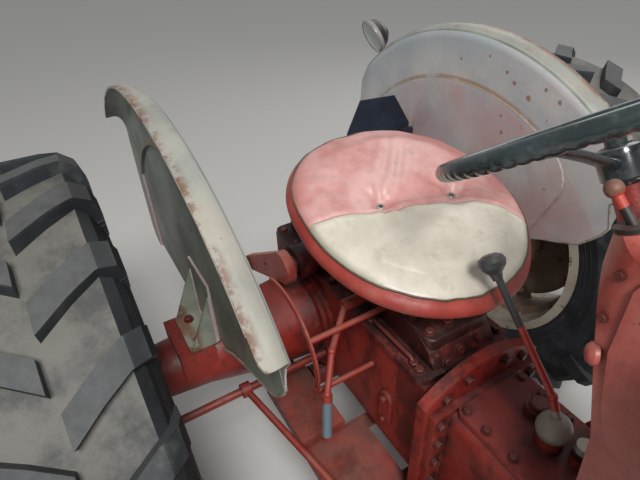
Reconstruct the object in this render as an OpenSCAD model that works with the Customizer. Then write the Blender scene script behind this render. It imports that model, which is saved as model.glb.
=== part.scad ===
// Small farm tractor of the late 1940s type, with clam-shell fenders and a pan seat.
// Millimetres. +X is forward, +Y is the driver's left, +Z is up, and the ground is at Z = 0.
// Inside the modules X is counted from the rear axle. place() moves it to the row's origin.

/* [Layout] */
// distance between the rear and the front axle
wheelbase = 1892; // [1780:1:2000]
// distance between the middles of the rear tyres
rear_track = 1490; // [1320:10:1800]
// distance between the middles of the front tyres
front_track = 1330; // [1220:10:1500]

/* [Rear wheels] */
// rear tyre diameter over the lug tips
rear_tyre_d = 1230; // [1180:5:1300]
// rear tyre section width
rear_tyre_w = 310; // [280:5:340]
// height of a rear lug above the carcass
lug_h = 30; // [15:1:40]
// lugs on each half of a rear tyre
lug_count = 22; // [18:1:26]
// rear bead seat diameter
rear_seat_d = 712; // [700:1:720]
// height of the rear rim flange above the bead seat
rear_flange_h = 22; // [18:1:26]
// rear rim width over the flanges
rear_rim_w = 278; // [250:2:290]
// loops that carry the rear disc in its rim
rear_loops = 8; // [6:1:10]

/* [Front wheels] */
// front tyre diameter
front_tyre_d = 700; // [660:5:760]
// front tyre section width
front_tyre_w = 148; // [130:2:165]
// front bead seat diameter
front_seat_d = 405; // [400:1:410]
// height of the front rim flange above the bead seat
front_flange_h = 18; // [14:1:22]
// front rim width over the flanges
front_rim_w = 124; // [110:2:140]
// distance from the kingpin to the middle of the front tyre
kingpin_offset = 112; // [106:1:125]
// length of a steering arm
steer_arm_l = 145; // [120:1:160]

/* [Rear axle and housing] */
// half width of the centre housing
housing_hw = 126; // [115:1:140]
// height of the housing's top joint above the axle
housing_top = 178; // [165:1:190]
// depth of the housing below the axle
housing_deep = 185; // [170:1:200]
// distance from the axle to the flange that meets the gearbox
flange_x = 560; // [530:5:590]
// radius of an axle trumpet at its outer end
trumpet_r = 74; // [66:1:80]
// radius of an axle trumpet at the housing
trumpet_root_r = 128; // [118:1:140]
// radius of a brake back plate
brake_r = 186; // [170:1:195]

/* [Gearbox and engine] */
// half width of the gearbox
gearbox_hw = 108; // [100:1:118]
// height of the gearbox's top cover above the axle
gearbox_top = 165; // [155:1:172]
// distance from the rear axle to the engine's rear face
engine_x = 1010; // [980:5:1040]
// engine length
engine_l = 600; // [580:5:620]
// half width of the engine block
engine_hw = 112; // [100:1:125]
// height of the cylinder head's top above the ground
head_z = 985; // [960:5:1010]

/* [Hood and grille] */
// half width of the hood
hood_hw = 215; // [200:1:230]
// height of the hood's top at the dash
hood_z = 1350; // [1320:5:1380]
// radius of the hood's upper corners
hood_corner_r = 125; // [100:5:150]
// thickness of the hood's sheet
hood_t = 4; // [3:0.5:6]
// height of the hood's lower edge beside the engine
hood_edge_z = 1050; // [1020:5:1080]
// overhang of the hood's nose beyond the front axle
nose_x = 190; // [170:5:210]
// vertical bars in the grille
grille_bars = 15; // [11:2:21]
// width of a grille bar
grille_bar_w = 7; // [5:0.5:9]
// headlamp radius
headlamp_r = 82; // [75:1:90]

/* [Steering] */
// steering wheel radius at the middle of its rim tube
wheel_rim_r = 215; // [200:1:225]
// radius of the rim tube
wheel_tube_r = 13; // [9:0.5:14]
// lean of the steering column's axis from the vertical
column_lean = 34.5; // [32:0.5:37]
// steering wheel spokes
wheel_spokes = 3; // [3:1:4]
// length of a pitman arm
pitman_l = 190; // [170:1:200]

/* [Fenders] */
// fender radius about the rear axle
fender_r = 725; // [700:5:740]
// distance from the middle to a fender's inner face
fender_y = 426; // [415:1:440]
// width of the fender's crown
crown_w = 54; // [48:1:70]
// radius of the fender's shoulder
shoulder_r = 32; // [25:1:40]
// thickness of the fender's sheet
fender_t = 4; // [3:0.5:6]
// radius of the raised panel in the fender
panel_r = 582; // [560:2:600]

/* [Seat] */
// distance from the rear axle to the middle of the cushion
seat_x = 276; // [260:2:300]
// height of the cushion's middle above the ground
seat_z = 1108; // [1090:2:1130]
// slope of the seat, which falls to the front
seat_tilt = 13.4; // [8:0.2:16]
// seat cushion half length
seat_hl = 278; // [260:1:290]
// seat cushion half width
seat_hw = 250; // [235:1:265]

/* [Lift linkage] */
// length of a lift arm
lift_arm_l = 285; // [260:1:300]
// length of a lower link
lower_link_l = 800; // [760:5:840]
// bore of a lower link's ball
link_bore_d = 22.4; // [20:0.2:29]
// bore of the drawbar's pin hole
drawbar_bore_d = 26; // [20:1:32]
// diameter of the power take-off shaft
pto_d = 28.6; // [25:0.2:35]

/* [Hidden] */
$fn = 48;
fit = 0.3;          // gap between curved faces that meet
axle_z = rear_tyre_d / 2;
front_z = front_tyre_d / 2;
rear_y = rear_track / 2;
front_y = front_track / 2;
kingpin_y = front_y - kingpin_offset;

rear_face = 182;    // the housing's rear face behind the axle

shaft_r = 28;       // rear axle shaft

// lower links, from their front pins back to their balls
link_pin = [75, 190, axle_z - 215];
link_ball_y = 330;
link_drop = 25;
link_eye_r = 27;
link_ball_x = link_pin[0] - lower_link_l;
link_ball_z = link_pin[2] - link_drop;
row_x = -(wheelbase + front_tyre_d / 2 + link_ball_x - link_eye_r) / 2;

// rockshaft and lift arms
rock = [30, axle_z + 215];
rock_r = 24;
lift_arm_y = 190;
lift_arm_w = 26;
lift_arm_drop = 30;
arm_tip = [rock[0] - lift_arm_l * cos(lift_arm_drop), rock[1] - lift_arm_l * sin(lift_arm_drop)];
rod_pin_x = 0.5;
rod_y = lift_arm_y + lift_arm_w + 14;
rod_low = [link_pin[0] + rod_pin_x * (link_ball_x - link_pin[0]),
           link_pin[1] + rod_pin_x * (link_ball_y - link_pin[1]),
           link_pin[2] - rod_pin_x * link_drop];

// steering column, from the rim's middle down to the gear
column_top = [643, axle_z + 785];
column_dir = [sin(column_lean), -cos(column_lean)];
gear_x = column_top[0] + 545 * column_dir[0];
gear_z = column_top[1] + 545 * column_dir[1];
hub_low = 80;       // the wheel hub's underside below the rim
hub_h = 45;
wheel_shaft_r = 11;
spoke_start = 287;
pitman_y = 197;
pitman_t = 16;
pitman_x = 952;
pitman_z = axle_z + 290;
link_r = 11;

// front axle
beam_z = 500;
beam_hw = 385;
king_tube_r = 26;
king_r = 17;
king_top = 612;
king_low = 432;
steer_arm_z = king_top + fit;
steer_eye = [wheelbase + 34, kingpin_y - steer_arm_l];

// hood stations
hood_x0 = 908;
nose_end = wheelbase + nose_x;
engine_x1 = engine_x + engine_l;

// Helpers.

module place() { translate([row_x, 0, 0]) children(); }

// a cylinder along Y from y0 to y1
module y_rod(r, y0, y1) {
    translate([0, y0, 0]) rotate([-90, 0, 0]) cylinder(h = y1 - y0, r = r);
}

// a cylinder along X from x0 to x1
module x_rod(r, x0, x1) {
    translate([x0, 0, 0]) rotate([0, 90, 0]) cylinder(h = x1 - x0, r = r);
}

// a cylinder from point a to point b
module bar(a, b, r) {
    d = b - a;
    translate(a) rotate([0, acos(d[2] / norm(d)), atan2(d[1], d[0])]) cylinder(h = norm(d), r = r);
}

// a side outline in X and Z, as thick as from y0 to y1
module side_slab(y0, y1) {
    translate([0, y1, 0]) rotate([90, 0, 0]) linear_extrude(y1 - y0) children();
}

// a cross section in Y and Z, drawn out from x0 to x1
module cross_slab(x0, x1) {
    translate([x0, 0, 0]) rotate([90, 0, 90]) linear_extrude(x1 - x0) children();
}

// a profile in radius and offset along Y, turned about the Y axis
module y_turned() {
    rotate([-90, 0, 0]) rotate_extrude($fn = 96) children();
}

// a rectangle from [x0, y0] to [x1, y1] with round corners
module round_rect(x0, y0, x1, y1, r) {
    translate([x0 + r, y0]) square([x1 - x0 - 2 * r, y1 - y0]);
    translate([x0, y0 + r]) square([x1 - x0, y1 - y0 - 2 * r]);
    for (x = [x0 + r, x1 - r])
        for (y = [y0 + r, y1 - r])
            translate([x, y]) circle(r);
}

// a stadium from point a to point b
module slot_2d(a, b, r) {
    d = b - a;
    translate(a) circle(r);
    translate(b) circle(r);
    translate(a) rotate(atan2(d[1], d[0])) translate([0, -r]) square([norm(d), 2 * r]);
}

function polar(r, a) = [r * cos(a), r * sin(a)];

// points on an arc about c
function arc_pts(c, r, a0, a1, n) =
    [for (i = [0:n]) let (a = a0 + (a1 - a0) * i / n) [c[0] + r * cos(a), c[1] + r * sin(a)]];

// Rear axle, hitch.

// the housing's cross section below its top joint
module housing_section() {
    round_rect(-housing_hw, -housing_deep, housing_hw, housing_top - 20, 60);
    translate([-housing_hw, 0]) square([2 * housing_hw, housing_top]);
}

// one axle trumpet with its flanges, on the left
module trumpet() {
    y_turned() polygon([[0, housing_hw - 40], [trumpet_root_r + 24, housing_hw - 40],
        [trumpet_root_r + 24, housing_hw + 22], [trumpet_root_r, housing_hw + 24],
        [trumpet_root_r - 12, 300], [trumpet_r + 8, fender_y + 40], [trumpet_r, rear_y - 175],
        [trumpet_r, rear_y - 148], [trumpet_r + 26, rear_y - 146], [trumpet_r + 26, rear_y - 128],
        [brake_r, rear_y - 116], [brake_r, rear_y - 108], [40, rear_y - 108],
        [40, rear_y - 58], [shaft_r, rear_y - 58], [shaft_r, rear_y - 20], [0, rear_y - 20]]);
    translate([-80, fender_y + 14, 0]) cube([160, 90, trumpet_r + 16]);
}

module rear_housing() {
    place() color("firebrick") translate([0, 0, axle_z]) difference() {
        union() {
            cross_slab(-rear_face, flange_x - 24) housing_section();
            y_rod(trumpet_root_r + 48, -housing_hw - 12, housing_hw + 12);
            for (s = [0, 1]) mirror([0, s, 0]) trumpet();
            cross_slab(flange_x - 26, flange_x) {
                intersection() {
                    circle(244, $fn = 96);
                    translate([-162, -housing_deep]) square([324, 500]);
                }
            }
            for (s = [0, 1]) mirror([0, s, 0]) translate([link_pin[0], 0, link_pin[2] - axle_z]) {
                y_rod(34, 60, link_pin[1] - 25);
                y_rod(13, 60, link_pin[1] + 28);
                translate([-34, 60, 0]) cube([68, housing_hw - 80, 80]);
            }
        }
        translate([-400, -400, housing_top]) cube([flange_x - 26 + 400, 800, 300]);
    }
}

// the dished cover on the housing's rear face, with the power take-off shaft
module rear_cover() {
    place() color("firebrick") translate([-rear_face, 0, axle_z]) {
        cross_slab(-16, 0) difference() {
            union() {
                circle(148, $fn = 72);
                translate([-112, -168]) square([224, 120]);
            }
            for (a = [20:40:340]) rotate(a) translate([134, 0]) circle(5, $fn = 16);
        }
        x_rod(64, -44, -16);
        x_rod(40, -70, -44);
        x_rod(pto_d / 2, -150, -70);
    }
}

module lift_cover() {
    joint_z = axle_z + housing_top;
    place() color("firebrick") difference() {
        union() {
            translate([0, 0, joint_z]) {
                linear_extrude(16) round_rect(-rear_face, -housing_hw - 6, flange_x - 50, housing_hw + 6, 26);
                side_slab(-88, 88) polygon([[-150, 16], [-150, 62], [-90, 78], [440, 78],
                    [478, 52], [500, 16]]);
            }
            intersection() {
                translate([rock[0], 0, rock[1]]) y_rod(48, -lift_arm_y + 14, lift_arm_y - 14);
                translate([rock[0] - 60, -200, joint_z]) cube([120, 400, 120]);
            }
            // ears for the upper link
            translate([-120, 0, joint_z + 16]) for (s = [-1, 1])
                side_slab(s * 30 - 7, s * 30 + 7) difference() {
                    polygon([[-58, 60], [-40, 20], [0, 0], [60, 0], [60, 60], [0, 110], [-40, 112], [-62, 90]]);
                    translate([-38, 88]) circle(13, $fn = 24);
                }
        }
        translate([rock[0], 0, rock[1]]) y_rod(rock_r + fit, -lift_arm_y - 1, lift_arm_y + 1);
    }
}

// rockshaft with both lift arms
module lift_arms() {
    place() color("firebrick") {
        translate([rock[0], 0, rock[1]]) y_rod(rock_r, -lift_arm_y - lift_arm_w, lift_arm_y + lift_arm_w);
        for (s = [0, 1]) mirror([0, s, 0]) {
            difference() {
                side_slab(lift_arm_y, lift_arm_y + lift_arm_w) difference() {
                    union() {
                        translate(rock) circle(46);
                        translate(arm_tip) circle(24);
                        translate(rock) rotate(180 + lift_arm_drop)
                            polygon([[0, -44], [0, 44], [lift_arm_l, 23], [lift_arm_l, -23]]);
                    }
                    translate(rock + 0.42 * (arm_tip - rock)) circle(10, $fn = 24);
                }
                translate([arm_tip[0], 0, arm_tip[1]])
                    y_rod(10 + fit, lift_arm_y - 1, lift_arm_y + lift_arm_w + 1);
            }
        }
    }
}

// one lift rod on the left: a pin in the arm, a rod with its adjusting sleeve and an eye
// that hangs beside the lower link
module lift_rod() {
    top = [arm_tip[0], rod_y, arm_tip[1]];
    low = [rod_low[0], rod_y, rod_low[2]];
    translate([top[0], 0, top[2]]) {
        y_rod(10, lift_arm_y - 12, rod_y);
        y_rod(17, lift_arm_y - 12, lift_arm_y - 5);
        y_rod(21, lift_arm_y + lift_arm_w + 5, rod_y + 9);
    }
    bar(top, low, 9);
    bar(low + 0.34 * (top - low), low + 0.66 * (top - low), 15);
    translate([low[0], 0, low[2]]) y_rod(20, rod_y - 10, rod_y + 10);
}

module lift_rod_left() {
    place() color("dimgray") lift_rod();
}

module lift_rod_right() {
    place() color("dimgray") mirror([0, 1, 0]) lift_rod();
}

// one lower link on the left: a flat bar between a front eye and a ball
module lower_link() {
    ball = [link_ball_x, link_ball_y, link_ball_z];
    difference() {
        union() {
            translate([link_pin[0], 0, link_pin[2]]) y_rod(28, link_pin[1] - 20, link_pin[1] + 20);
            translate([ball[0], 0, ball[2]]) y_rod(link_eye_r, ball[1] - 20, ball[1] + 20);
            translate(link_pin)
                rotate([0, 0, atan2(ball[1] - link_pin[1], ball[0] - link_pin[0])])
                rotate([0, atan2(link_drop, lower_link_l), 0])
                    translate([14, -9, -25])
                        cube([norm(ball - link_pin) - 28, 18, 50]);
            translate([rod_low[0], 0, rod_low[2]]) y_rod(13, rod_low[1] - 14, rod_low[1] + 24);
        }
        translate([link_pin[0], 0, link_pin[2]]) y_rod(13 + fit, link_pin[1] - 60, link_pin[1] + 60);
        translate([ball[0], 0, ball[2]]) y_rod(link_bore_d / 2, ball[1] - 60, ball[1] + 60);
    }
}

module lower_link_left() {
    place() color("dimgray") lower_link();
}

module lower_link_right() {
    place() color("dimgray") mirror([0, 1, 0]) lower_link();
}

// the fixed drawbar below the housing
module drawbar() {
    place() color("dimgray") translate([0, 0, axle_z - housing_deep]) difference() {
        union() {
            translate([-430, -32, -42]) cube([520, 64, 26]);
            translate([-430, 0, -42]) cylinder(h = 26, r = 32);
            translate([10, -50, -16]) cube([70, 100, 16]);
            translate([-150, -80, -16]) cube([60, 160, 16]);
        }
        translate([-430, 0, -50]) cylinder(h = 40, r = drawbar_bore_d / 2);
    }
}

// Gearbox, engine.

bell_x0 = 800;
bell_hw = 176;
bell_low = axle_z - 232;
bell_top = axle_z + 212;

module gearbox() {
    place() color("firebrick") {
        cross_slab(flange_x, flange_x + 16) translate([0, axle_z]) {
            intersection() {
                circle(228, $fn = 96);
                translate([-150, -housing_deep]) square([300, housing_deep + gearbox_top - 4]);
            }
        }
        cross_slab(flange_x + 16, bell_x0 + 20) translate([0, axle_z])
            round_rect(-gearbox_hw, -housing_deep, gearbox_hw, gearbox_top - 14, 30);
        // the bell, in three steps that widen to the engine
        for (k = [0:2])
            cross_slab(bell_x0 + 64 * k, engine_x - 20) round_rect(
                -gearbox_hw - (bell_hw - gearbox_hw) * (k + 1) / 3,
                axle_z - housing_deep - (axle_z - housing_deep - bell_low) * (k + 1) / 3,
                gearbox_hw + (bell_hw - gearbox_hw) * (k + 1) / 3,
                axle_z + gearbox_top + (bell_top - axle_z - gearbox_top) * (k + 1) / 3, 50 + 20 * k);
        cross_slab(engine_x - 20, engine_x)
            round_rect(-bell_hw - 14, bell_low - 10, bell_hw + 14, bell_top, 80);
    }
}

// the flat cover that carries the gear lever
module shift_cover() {
    place() color("firebrick") translate([0, 0, axle_z + gearbox_top - 14]) {
        linear_extrude(14) round_rect(flange_x + 18, -96, bell_x0 - 2, 96, 16);
        translate([725, 0, 14]) cylinder(h = 34, r = 27);
        translate([668, 40, 14]) cylinder(h = 16, r = 26);
    }
}

pan_top = axle_z - 145;

module engine_block() {
    place() color("firebrick") {
        cross_slab(engine_x, engine_x1)
            round_rect(-engine_hw, pan_top, engine_hw, head_z - 130, 10);
        cross_slab(engine_x, engine_x + 24)
            round_rect(-bell_hw - 14, bell_low - 10, bell_hw + 14, bell_top, 80);
        cross_slab(engine_x1 - 60, engine_x1)
            round_rect(-engine_hw - 16, pan_top, engine_hw + 16, head_z - 180, 40);
        // core plugs on both sides of the block
        for (x = [engine_x + 110:120:engine_x1 - 110])
            translate([x, 0, 690]) y_rod(20, -engine_hw - 3, engine_hw + 3);
        // starter and oil filter on the left
        translate([0, engine_hw + 48, 560]) x_rod(42, engine_x + 24, engine_x + 250);
        translate([engine_x + 60, engine_hw - 10, 530]) cube([60, 60, 60]);
        translate([engine_x + 360, engine_hw + 42, 560]) cylinder(h = 178, r = 44);
        translate([engine_x + 330, engine_hw - 10, 590]) cube([60, 40, 60]);
    }
}

module cylinder_head() {
    place() color("firebrick") translate([0, 0, head_z - 130]) {
        translate([engine_x + 30, -98, 0]) cube([engine_l - 60, 196, 62]);
        cross_slab(engine_x + 60, engine_x1 - 60) round_rect(-56, 50, 56, 130, 26);
        // water outlet
        translate([engine_x1 - 110, 50, 50]) cube([70, 46, 104]);
    }
}

module oil_pan() {
    place() color("firebrick") difference() {
        union() {
            cross_slab(engine_x + 24 + fit, engine_x1 - 20)
                round_rect(-104, pan_top - 118, 104, pan_top, 34);
            translate([engine_x + 24 + fit, -engine_hw, pan_top - 12])
                cube([engine_l - 44 - fit, 2 * engine_hw, 12]);
        }
        translate([engine_x - 100, -200, pan_top]) cube([engine_l + 200, 400, 60]);
    }
}

exhaust_y = -engine_hw - 62;
pipe_z = axle_z - 280;

// manifold on the right, its down pipe, the silencer and the tail pipe
module exhaust() {
    place() color("saddlebrown") {
        for (x = [engine_x + 90:140:engine_x1 - 80])
            translate([x - 22, exhaust_y, 776]) cube([44, -exhaust_y - engine_hw, 44]);
        translate([0, exhaust_y - 10, 798]) x_rod(28, engine_x + 66, engine_x1 - 58);
        translate([engine_x + 100, exhaust_y - 10, 0]) {
            translate([0, 0, pipe_z]) cylinder(h = 798 - pipe_z, r = 22);
            translate([0, 0, pipe_z]) sphere(22);
        }
        translate([0, exhaust_y - 10, pipe_z]) {
            x_rod(22, -190, engine_x + 100);
            x_rod(46, 330, 760);
        }
    }
}

air_x = engine_x + 62;
intake_y = -136;

// oil bath air cleaner, its pipe and the carburettor
module intake() {
    place() color("dimgray") {
        translate([air_x, intake_y, head_z - 60]) {
            cylinder(h = 66, r = 70);
            cylinder(h = 176, r = 62);
            cylinder(h = 194, r = 30);
        }
        bar([air_x + 50, intake_y, head_z + 75], [engine_x + 345, intake_y, head_z + 75], 20);
        translate([engine_x + 310, intake_y - 35, 830]) cube([70, 54, 80]);
        translate([engine_x + 345, intake_y, 900]) cylinder(h = head_z + 75 - 900, r = 20);
        translate([engine_x + 345, intake_y, head_z + 75]) sphere(20);
    }
}

module generator() {
    place() color("dimgray") {
        translate([0, engine_hw + 72, 800]) {
            x_rod(54, engine_x1 - 250, engine_x1 - 60);
            x_rod(16, engine_x1 - 60, engine_x1 + 44);
            difference() {
                x_rod(48, engine_x1 + 22, engine_x1 + 44);
                translate([engine_x1 + 33, 0, 0]) rotate([0, 90, 0]) rotate_extrude()
                    translate([46, 0]) polygon([[0, 0], [10, -8], [10, 8]]);
            }
        }
        translate([engine_x1 - 180, engine_hw + fit, 740]) cube([60, 70, 30]);
    }
}

radiator_x = wheelbase - 122;
fan_room = radiator_x - engine_x1;

// water pump, pulley and four fan blades, between the engine and the radiator
module fan() {
    place() color("dimgray") translate([engine_x1, 0, 905]) {
        x_rod(34, 0, 0.2 * fan_room);
        x_rod(60, 0.2 * fan_room, 0.35 * fan_room);
        x_rod(14, 0.3 * fan_room, 0.54 * fan_room);
        x_rod(34, 0.5 * fan_room, 0.57 * fan_room);
        for (a = [0:90:270]) rotate([a, 0, 0])
            translate([0.54 * fan_room, 0, 0]) rotate([0, 0, 24]) translate([-1.5, -32, 20])
                cube([3, 64, 165]);
        translate([0, -30, -125]) cube([24, 60, 125]);
    }
}

module radiator() {
    place() color("black") {
        translate([radiator_x, -178, 706 + fit]) cube([60, 356, 44]);
        translate([radiator_x + 4, -170, 740]) cube([52, 340, 400]);
        cross_slab(radiator_x, radiator_x + 60) round_rect(-178, 1130, 178, 1200, 30);
        translate([radiator_x + 30, 0, 1195]) cylinder(h = 60, r = 28);
        translate([0, 75, head_z]) x_rod(20, engine_x1 - 40, radiator_x + 6);
    }
}

module fuel_tank() {
    place() color("firebrick") cross_slab(engine_x + 150, engine_x1 - 30)
        round_rect(-175, 1130, 175, 1288, 50);
}

// Front axle.

module front_support() {
    place() color("firebrick") difference() {
        union() {
            side_slab(-engine_hw, engine_hw) polygon([[engine_x1, 560], [engine_x1, 780],
                [engine_x1 + 14, 780], [engine_x1 + 40, 706], [wheelbase + 110, 706],
                [wheelbase + 130, 690], [wheelbase + 130, 600], [wheelbase + 60, 560]]);
            translate([0, 0, 540]) x_rod(42, wheelbase - 96, wheelbase - 46);
            translate([0, 0, 540]) x_rod(42, wheelbase + 46, wheelbase + 96);
        }
        translate([wheelbase - 46, -400, 400]) cube([92, 800, 190]);
        translate([0, 0, 540]) x_rod(16 + fit, wheelbase - 200, wheelbase + 200);
        translate([engine_x1 + 0.25 * fan_room, -engine_hw + 14, 500])
            cube([0.56 * fan_room, 2 * engine_hw - 28, 190]);
    }
}

// swept beam, its two extensions with kingpin tubes, the pivot pin and the radius rods
module front_axle() {
    place() color("firebrick") {
        difference() {
            union() {
                cross_slab(wheelbase - 34, wheelbase + 34) polygon([[-beam_hw, beam_z - 42],
                    [-beam_hw, beam_z + 42], [-120, beam_z + 66], [120, beam_z + 66],
                    [beam_hw, beam_z + 42], [beam_hw, beam_z - 42], [120, beam_z - 8], [-120, beam_z - 8]]);
                for (s = [-1, 1]) {
                    translate([wheelbase - 22, min(s * (beam_hw - 60), s * kingpin_y), beam_z - 30])
                        cube([44, kingpin_y - beam_hw + 60, 60]);
                    translate([wheelbase, s * kingpin_y, king_low])
                        cylinder(h = king_top - king_low, r = king_tube_r);
                }
            }
            for (s = [-1, 1])
                translate([wheelbase, s * kingpin_y, king_low - 1])
                    cylinder(h = king_top - king_low + 2, r = king_r + fit);
            for (s = [-1, 1])
                translate([wheelbase + 22, s * (beam_hw + 120) / 2 - 80, beam_z - 14]) cube([40, 160, 46]);
        }
        translate([0, 0, 540]) x_rod(16, wheelbase - 108, wheelbase + 108);
        for (s = [-1, 1])
            bar([wheelbase - 30, s * (beam_hw - 40), beam_z - 18], [engine_x - 40, s * 96, bell_low - 42], 17);
        translate([engine_x - 40, 0, bell_low - 42]) y_rod(26, -120, 120);
        translate([engine_x - 66, -60, bell_low - 42]) cube([52, 120, 32 - fit]);
    }
}

// one left knuckle: kingpin, stub axle and steering arm
module knuckle() {
    translate([wheelbase, kingpin_y, 0]) {
        translate([0, 0, king_low - 60]) cylinder(h = king_top + 26 - king_low + 60, r = king_r);
        translate([0, 0, front_z - 34]) cylinder(h = king_low - front_z + 34 - 4, r = 30);
        translate([0, 0, front_z]) y_rod(24, 0, 46);
        translate([0, 0, front_z]) y_rod(15, 40, kingpin_offset + 6);
        translate([0, 0, steer_arm_z]) cylinder(h = 22, r = 28);
    }
    eye = [steer_eye[0] - wheelbase, steer_eye[1] - kingpin_y];
    translate([wheelbase, kingpin_y, steer_arm_z]) linear_extrude(16) {
        rotate(atan2(eye[1], eye[0])) polygon([[0, -22], [0, 22], [norm(eye), 14], [norm(eye), -14]]);
        translate(eye) circle(19);
    }
}

module knuckle_left() {
    place() color("firebrick") knuckle();
}

module knuckle_right() {
    place() color("firebrick") mirror([0, 1, 0]) knuckle();
}

// Wheels.

// a rim's half section, in radius and offset: seat radius, flange height, width, well depth
module rim_section(seat, fh, w, well) {
    t = 6;
    polygon([[seat + fh, -w / 2], [seat + fh, -w / 2 + t], [seat, -w / 2 + t], [seat, -w * 0.27],
        [seat - well, -w * 0.18], [seat - well, w * 0.18], [seat, w * 0.27], [seat, w / 2 - t],
        [seat + fh, w / 2 - t], [seat + fh, w / 2], [seat - t, w / 2], [seat - t, w * 0.25],
        [seat - well - t, w * 0.16], [seat - well - t, -w * 0.16], [seat - t, -w * 0.25],
        [seat - t, -w / 2]]);
}

// a tyre's section: seat radius, flange height, rim width, tyre width, outer radius, crown
module tyre_section(seat, fh, rw, w, r, flat) {
    g = fit;
    polygon([[seat + g, -rw / 2 + 6 + g], [seat + fh + g, -rw / 2 + 6 + g], [seat + fh + 10, -rw / 2],
        [seat + (r - seat) * 0.42, -w / 2], [seat + (r - seat) * 0.66, -w * 0.48],
        [r - (r - seat) * 0.10, -flat - (w / 2 - flat) * 0.45], [r, -flat], [r + 0.01, 0], [r, flat],
        [r - (r - seat) * 0.10, flat + (w / 2 - flat) * 0.45], [seat + (r - seat) * 0.66, w * 0.48],
        [seat + (r - seat) * 0.42, w / 2], [seat + fh + 10, rw / 2],
        [seat + fh + g, rw / 2 - 6 - g], [seat + g, rw / 2 - 6 - g]]);
}

// the rear wheel on the left, at its own centre: rim, loops, dished disc, drum and hub
module rear_rim() {
    seat = rear_seat_d / 2;
    y_turned() rim_section(seat, rear_flange_h, rear_rim_w, 26);
    // dished disc, in radius and offset
    y_turned() polygon([[50, -14], [118, -14], [150, 8], [222, 44], [286, 26], [300, 26], [300, 34],
        [288, 34], [222, 52], [146, 17], [116, -6], [50, -6]]);
    // loops that join the disc to the well of the rim
    for (k = [0:rear_loops - 1]) rotate([0, 360 * (k + 0.5) / rear_loops, 0])
        translate([-34, 27, 276]) cube([68, 6, seat - 29 - 276]);
    y_turned() polygon([[shaft_r + fit, -52], [58, -52], [58, 6], [44, 10], [44, 44], [30, 52], [0, 52],
        [0, -18], [shaft_r + fit, -18]]);
    // brake drum
    y_turned() polygon([[brake_r - 30, -102], [brake_r - 14, -102], [brake_r - 14, -24],
        [110, -12], [50, -12], [50, -26], [brake_r - 30, -34]]);
}

module rear_rim_left() {
    place() color("gainsboro") translate([0, rear_y, axle_z]) rear_rim();
}

module rear_rim_right() {
    place() color("gainsboro") mirror([0, 1, 0]) translate([0, rear_y, axle_z]) rear_rim();
}

// one bar lug on the left half of the tread: its outline seen from outside the tyre, which
// sweeps back to the shoulder, cut to its section from the tread's middle to the sidewall
module lug() {
    r = rear_tyre_d / 2;
    hw = rear_tyre_w / 2;
    intersection() {
        translate([0, 0, r - 140]) linear_extrude(160) polygon([[80, 5], [38, 60], [6, 110],
            [-8, hw + 5], [-60, hw + 5], [-48, 110], [-14, 56], [24, 5]]);
        rotate([90, 0, 90]) linear_extrude(200, center = true) polygon([[4, r - lug_h - 12], [4, r - 2],
            [hw * 0.5, r], [hw * 0.74, r - 4], [hw * 0.93, r - lug_h * 0.9], [hw, r - lug_h * 2.2],
            [hw, r - 120], [hw * 0.94, r - 120], [hw * 0.72, r - lug_h - 16]]);
    }
}

module rear_tyre() {
    y_turned() tyre_section(rear_seat_d / 2, rear_flange_h, rear_rim_w, rear_tyre_w,
        rear_tyre_d / 2 - lug_h, rear_tyre_w * 0.36);
    for (k = [0:lug_count - 1]) {
        rotate([0, 360 * k / lug_count, 0]) lug();
        mirror([0, 1, 0]) rotate([0, 360 * (k + 0.5) / lug_count, 0]) lug();
    }
}

module rear_tyre_left() {
    place() color("dimgray") translate([0, rear_y, axle_z]) rear_tyre();
}

module rear_tyre_right() {
    place() color("dimgray") mirror([0, 1, 0]) translate([0, rear_y, axle_z]) rear_tyre();
}

// the front wheel on the left: rim, disc and hub
module front_rim() {
    seat = front_seat_d / 2;
    difference() {
        union() {
            y_turned() rim_section(seat, front_flange_h, front_rim_w, 16);
            y_turned() polygon([[40, 6], [96, 6], [124, 22], [150, 22], [seat - 19, -6], [seat - 19, 0],
                [152, 28], [122, 28], [94, 12], [40, 12]]);
            y_turned() polygon([[0, -62], [36, -62], [42, -20], [42, 14], [34, 46], [22, 52], [0, 52]]);
        }
        y_rod(15 + fit, -70, 10);
    }
}

module front_rim_left() {
    place() color("gainsboro") translate([wheelbase, front_y, front_z]) front_rim();
}

module front_rim_right() {
    place() color("gainsboro") mirror([0, 1, 0]) translate([wheelbase, front_y, front_z]) front_rim();
}

// three ribs round the front tyre
module front_tyre() {
    difference() {
        y_turned() tyre_section(front_seat_d / 2, front_flange_h, front_rim_w, front_tyre_w,
            front_tyre_d / 2, front_tyre_w * 0.34);
        for (y = [-1, 1]) y_turned() translate([front_tyre_d / 2 - 14, y * front_tyre_w * 0.17 - 9])
            polygon([[0, 3], [0, 15], [20, 19], [20, -1]]);
    }
}

module front_tyre_left() {
    place() color("dimgray") translate([wheelbase, front_y, front_z]) front_tyre();
}

module front_tyre_right() {
    place() color("dimgray") mirror([0, 1, 0]) translate([wheelbase, front_y, front_z]) front_tyre();
}

// Steering.

// a frame along the steering column: Z runs up the column from the gear to the wheel
module on_column(d) {
    translate([column_top[0] + d * column_dir[0], 0, column_top[1] + d * column_dir[1]])
        rotate([0, -column_lean, 0]) children();
}

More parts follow.
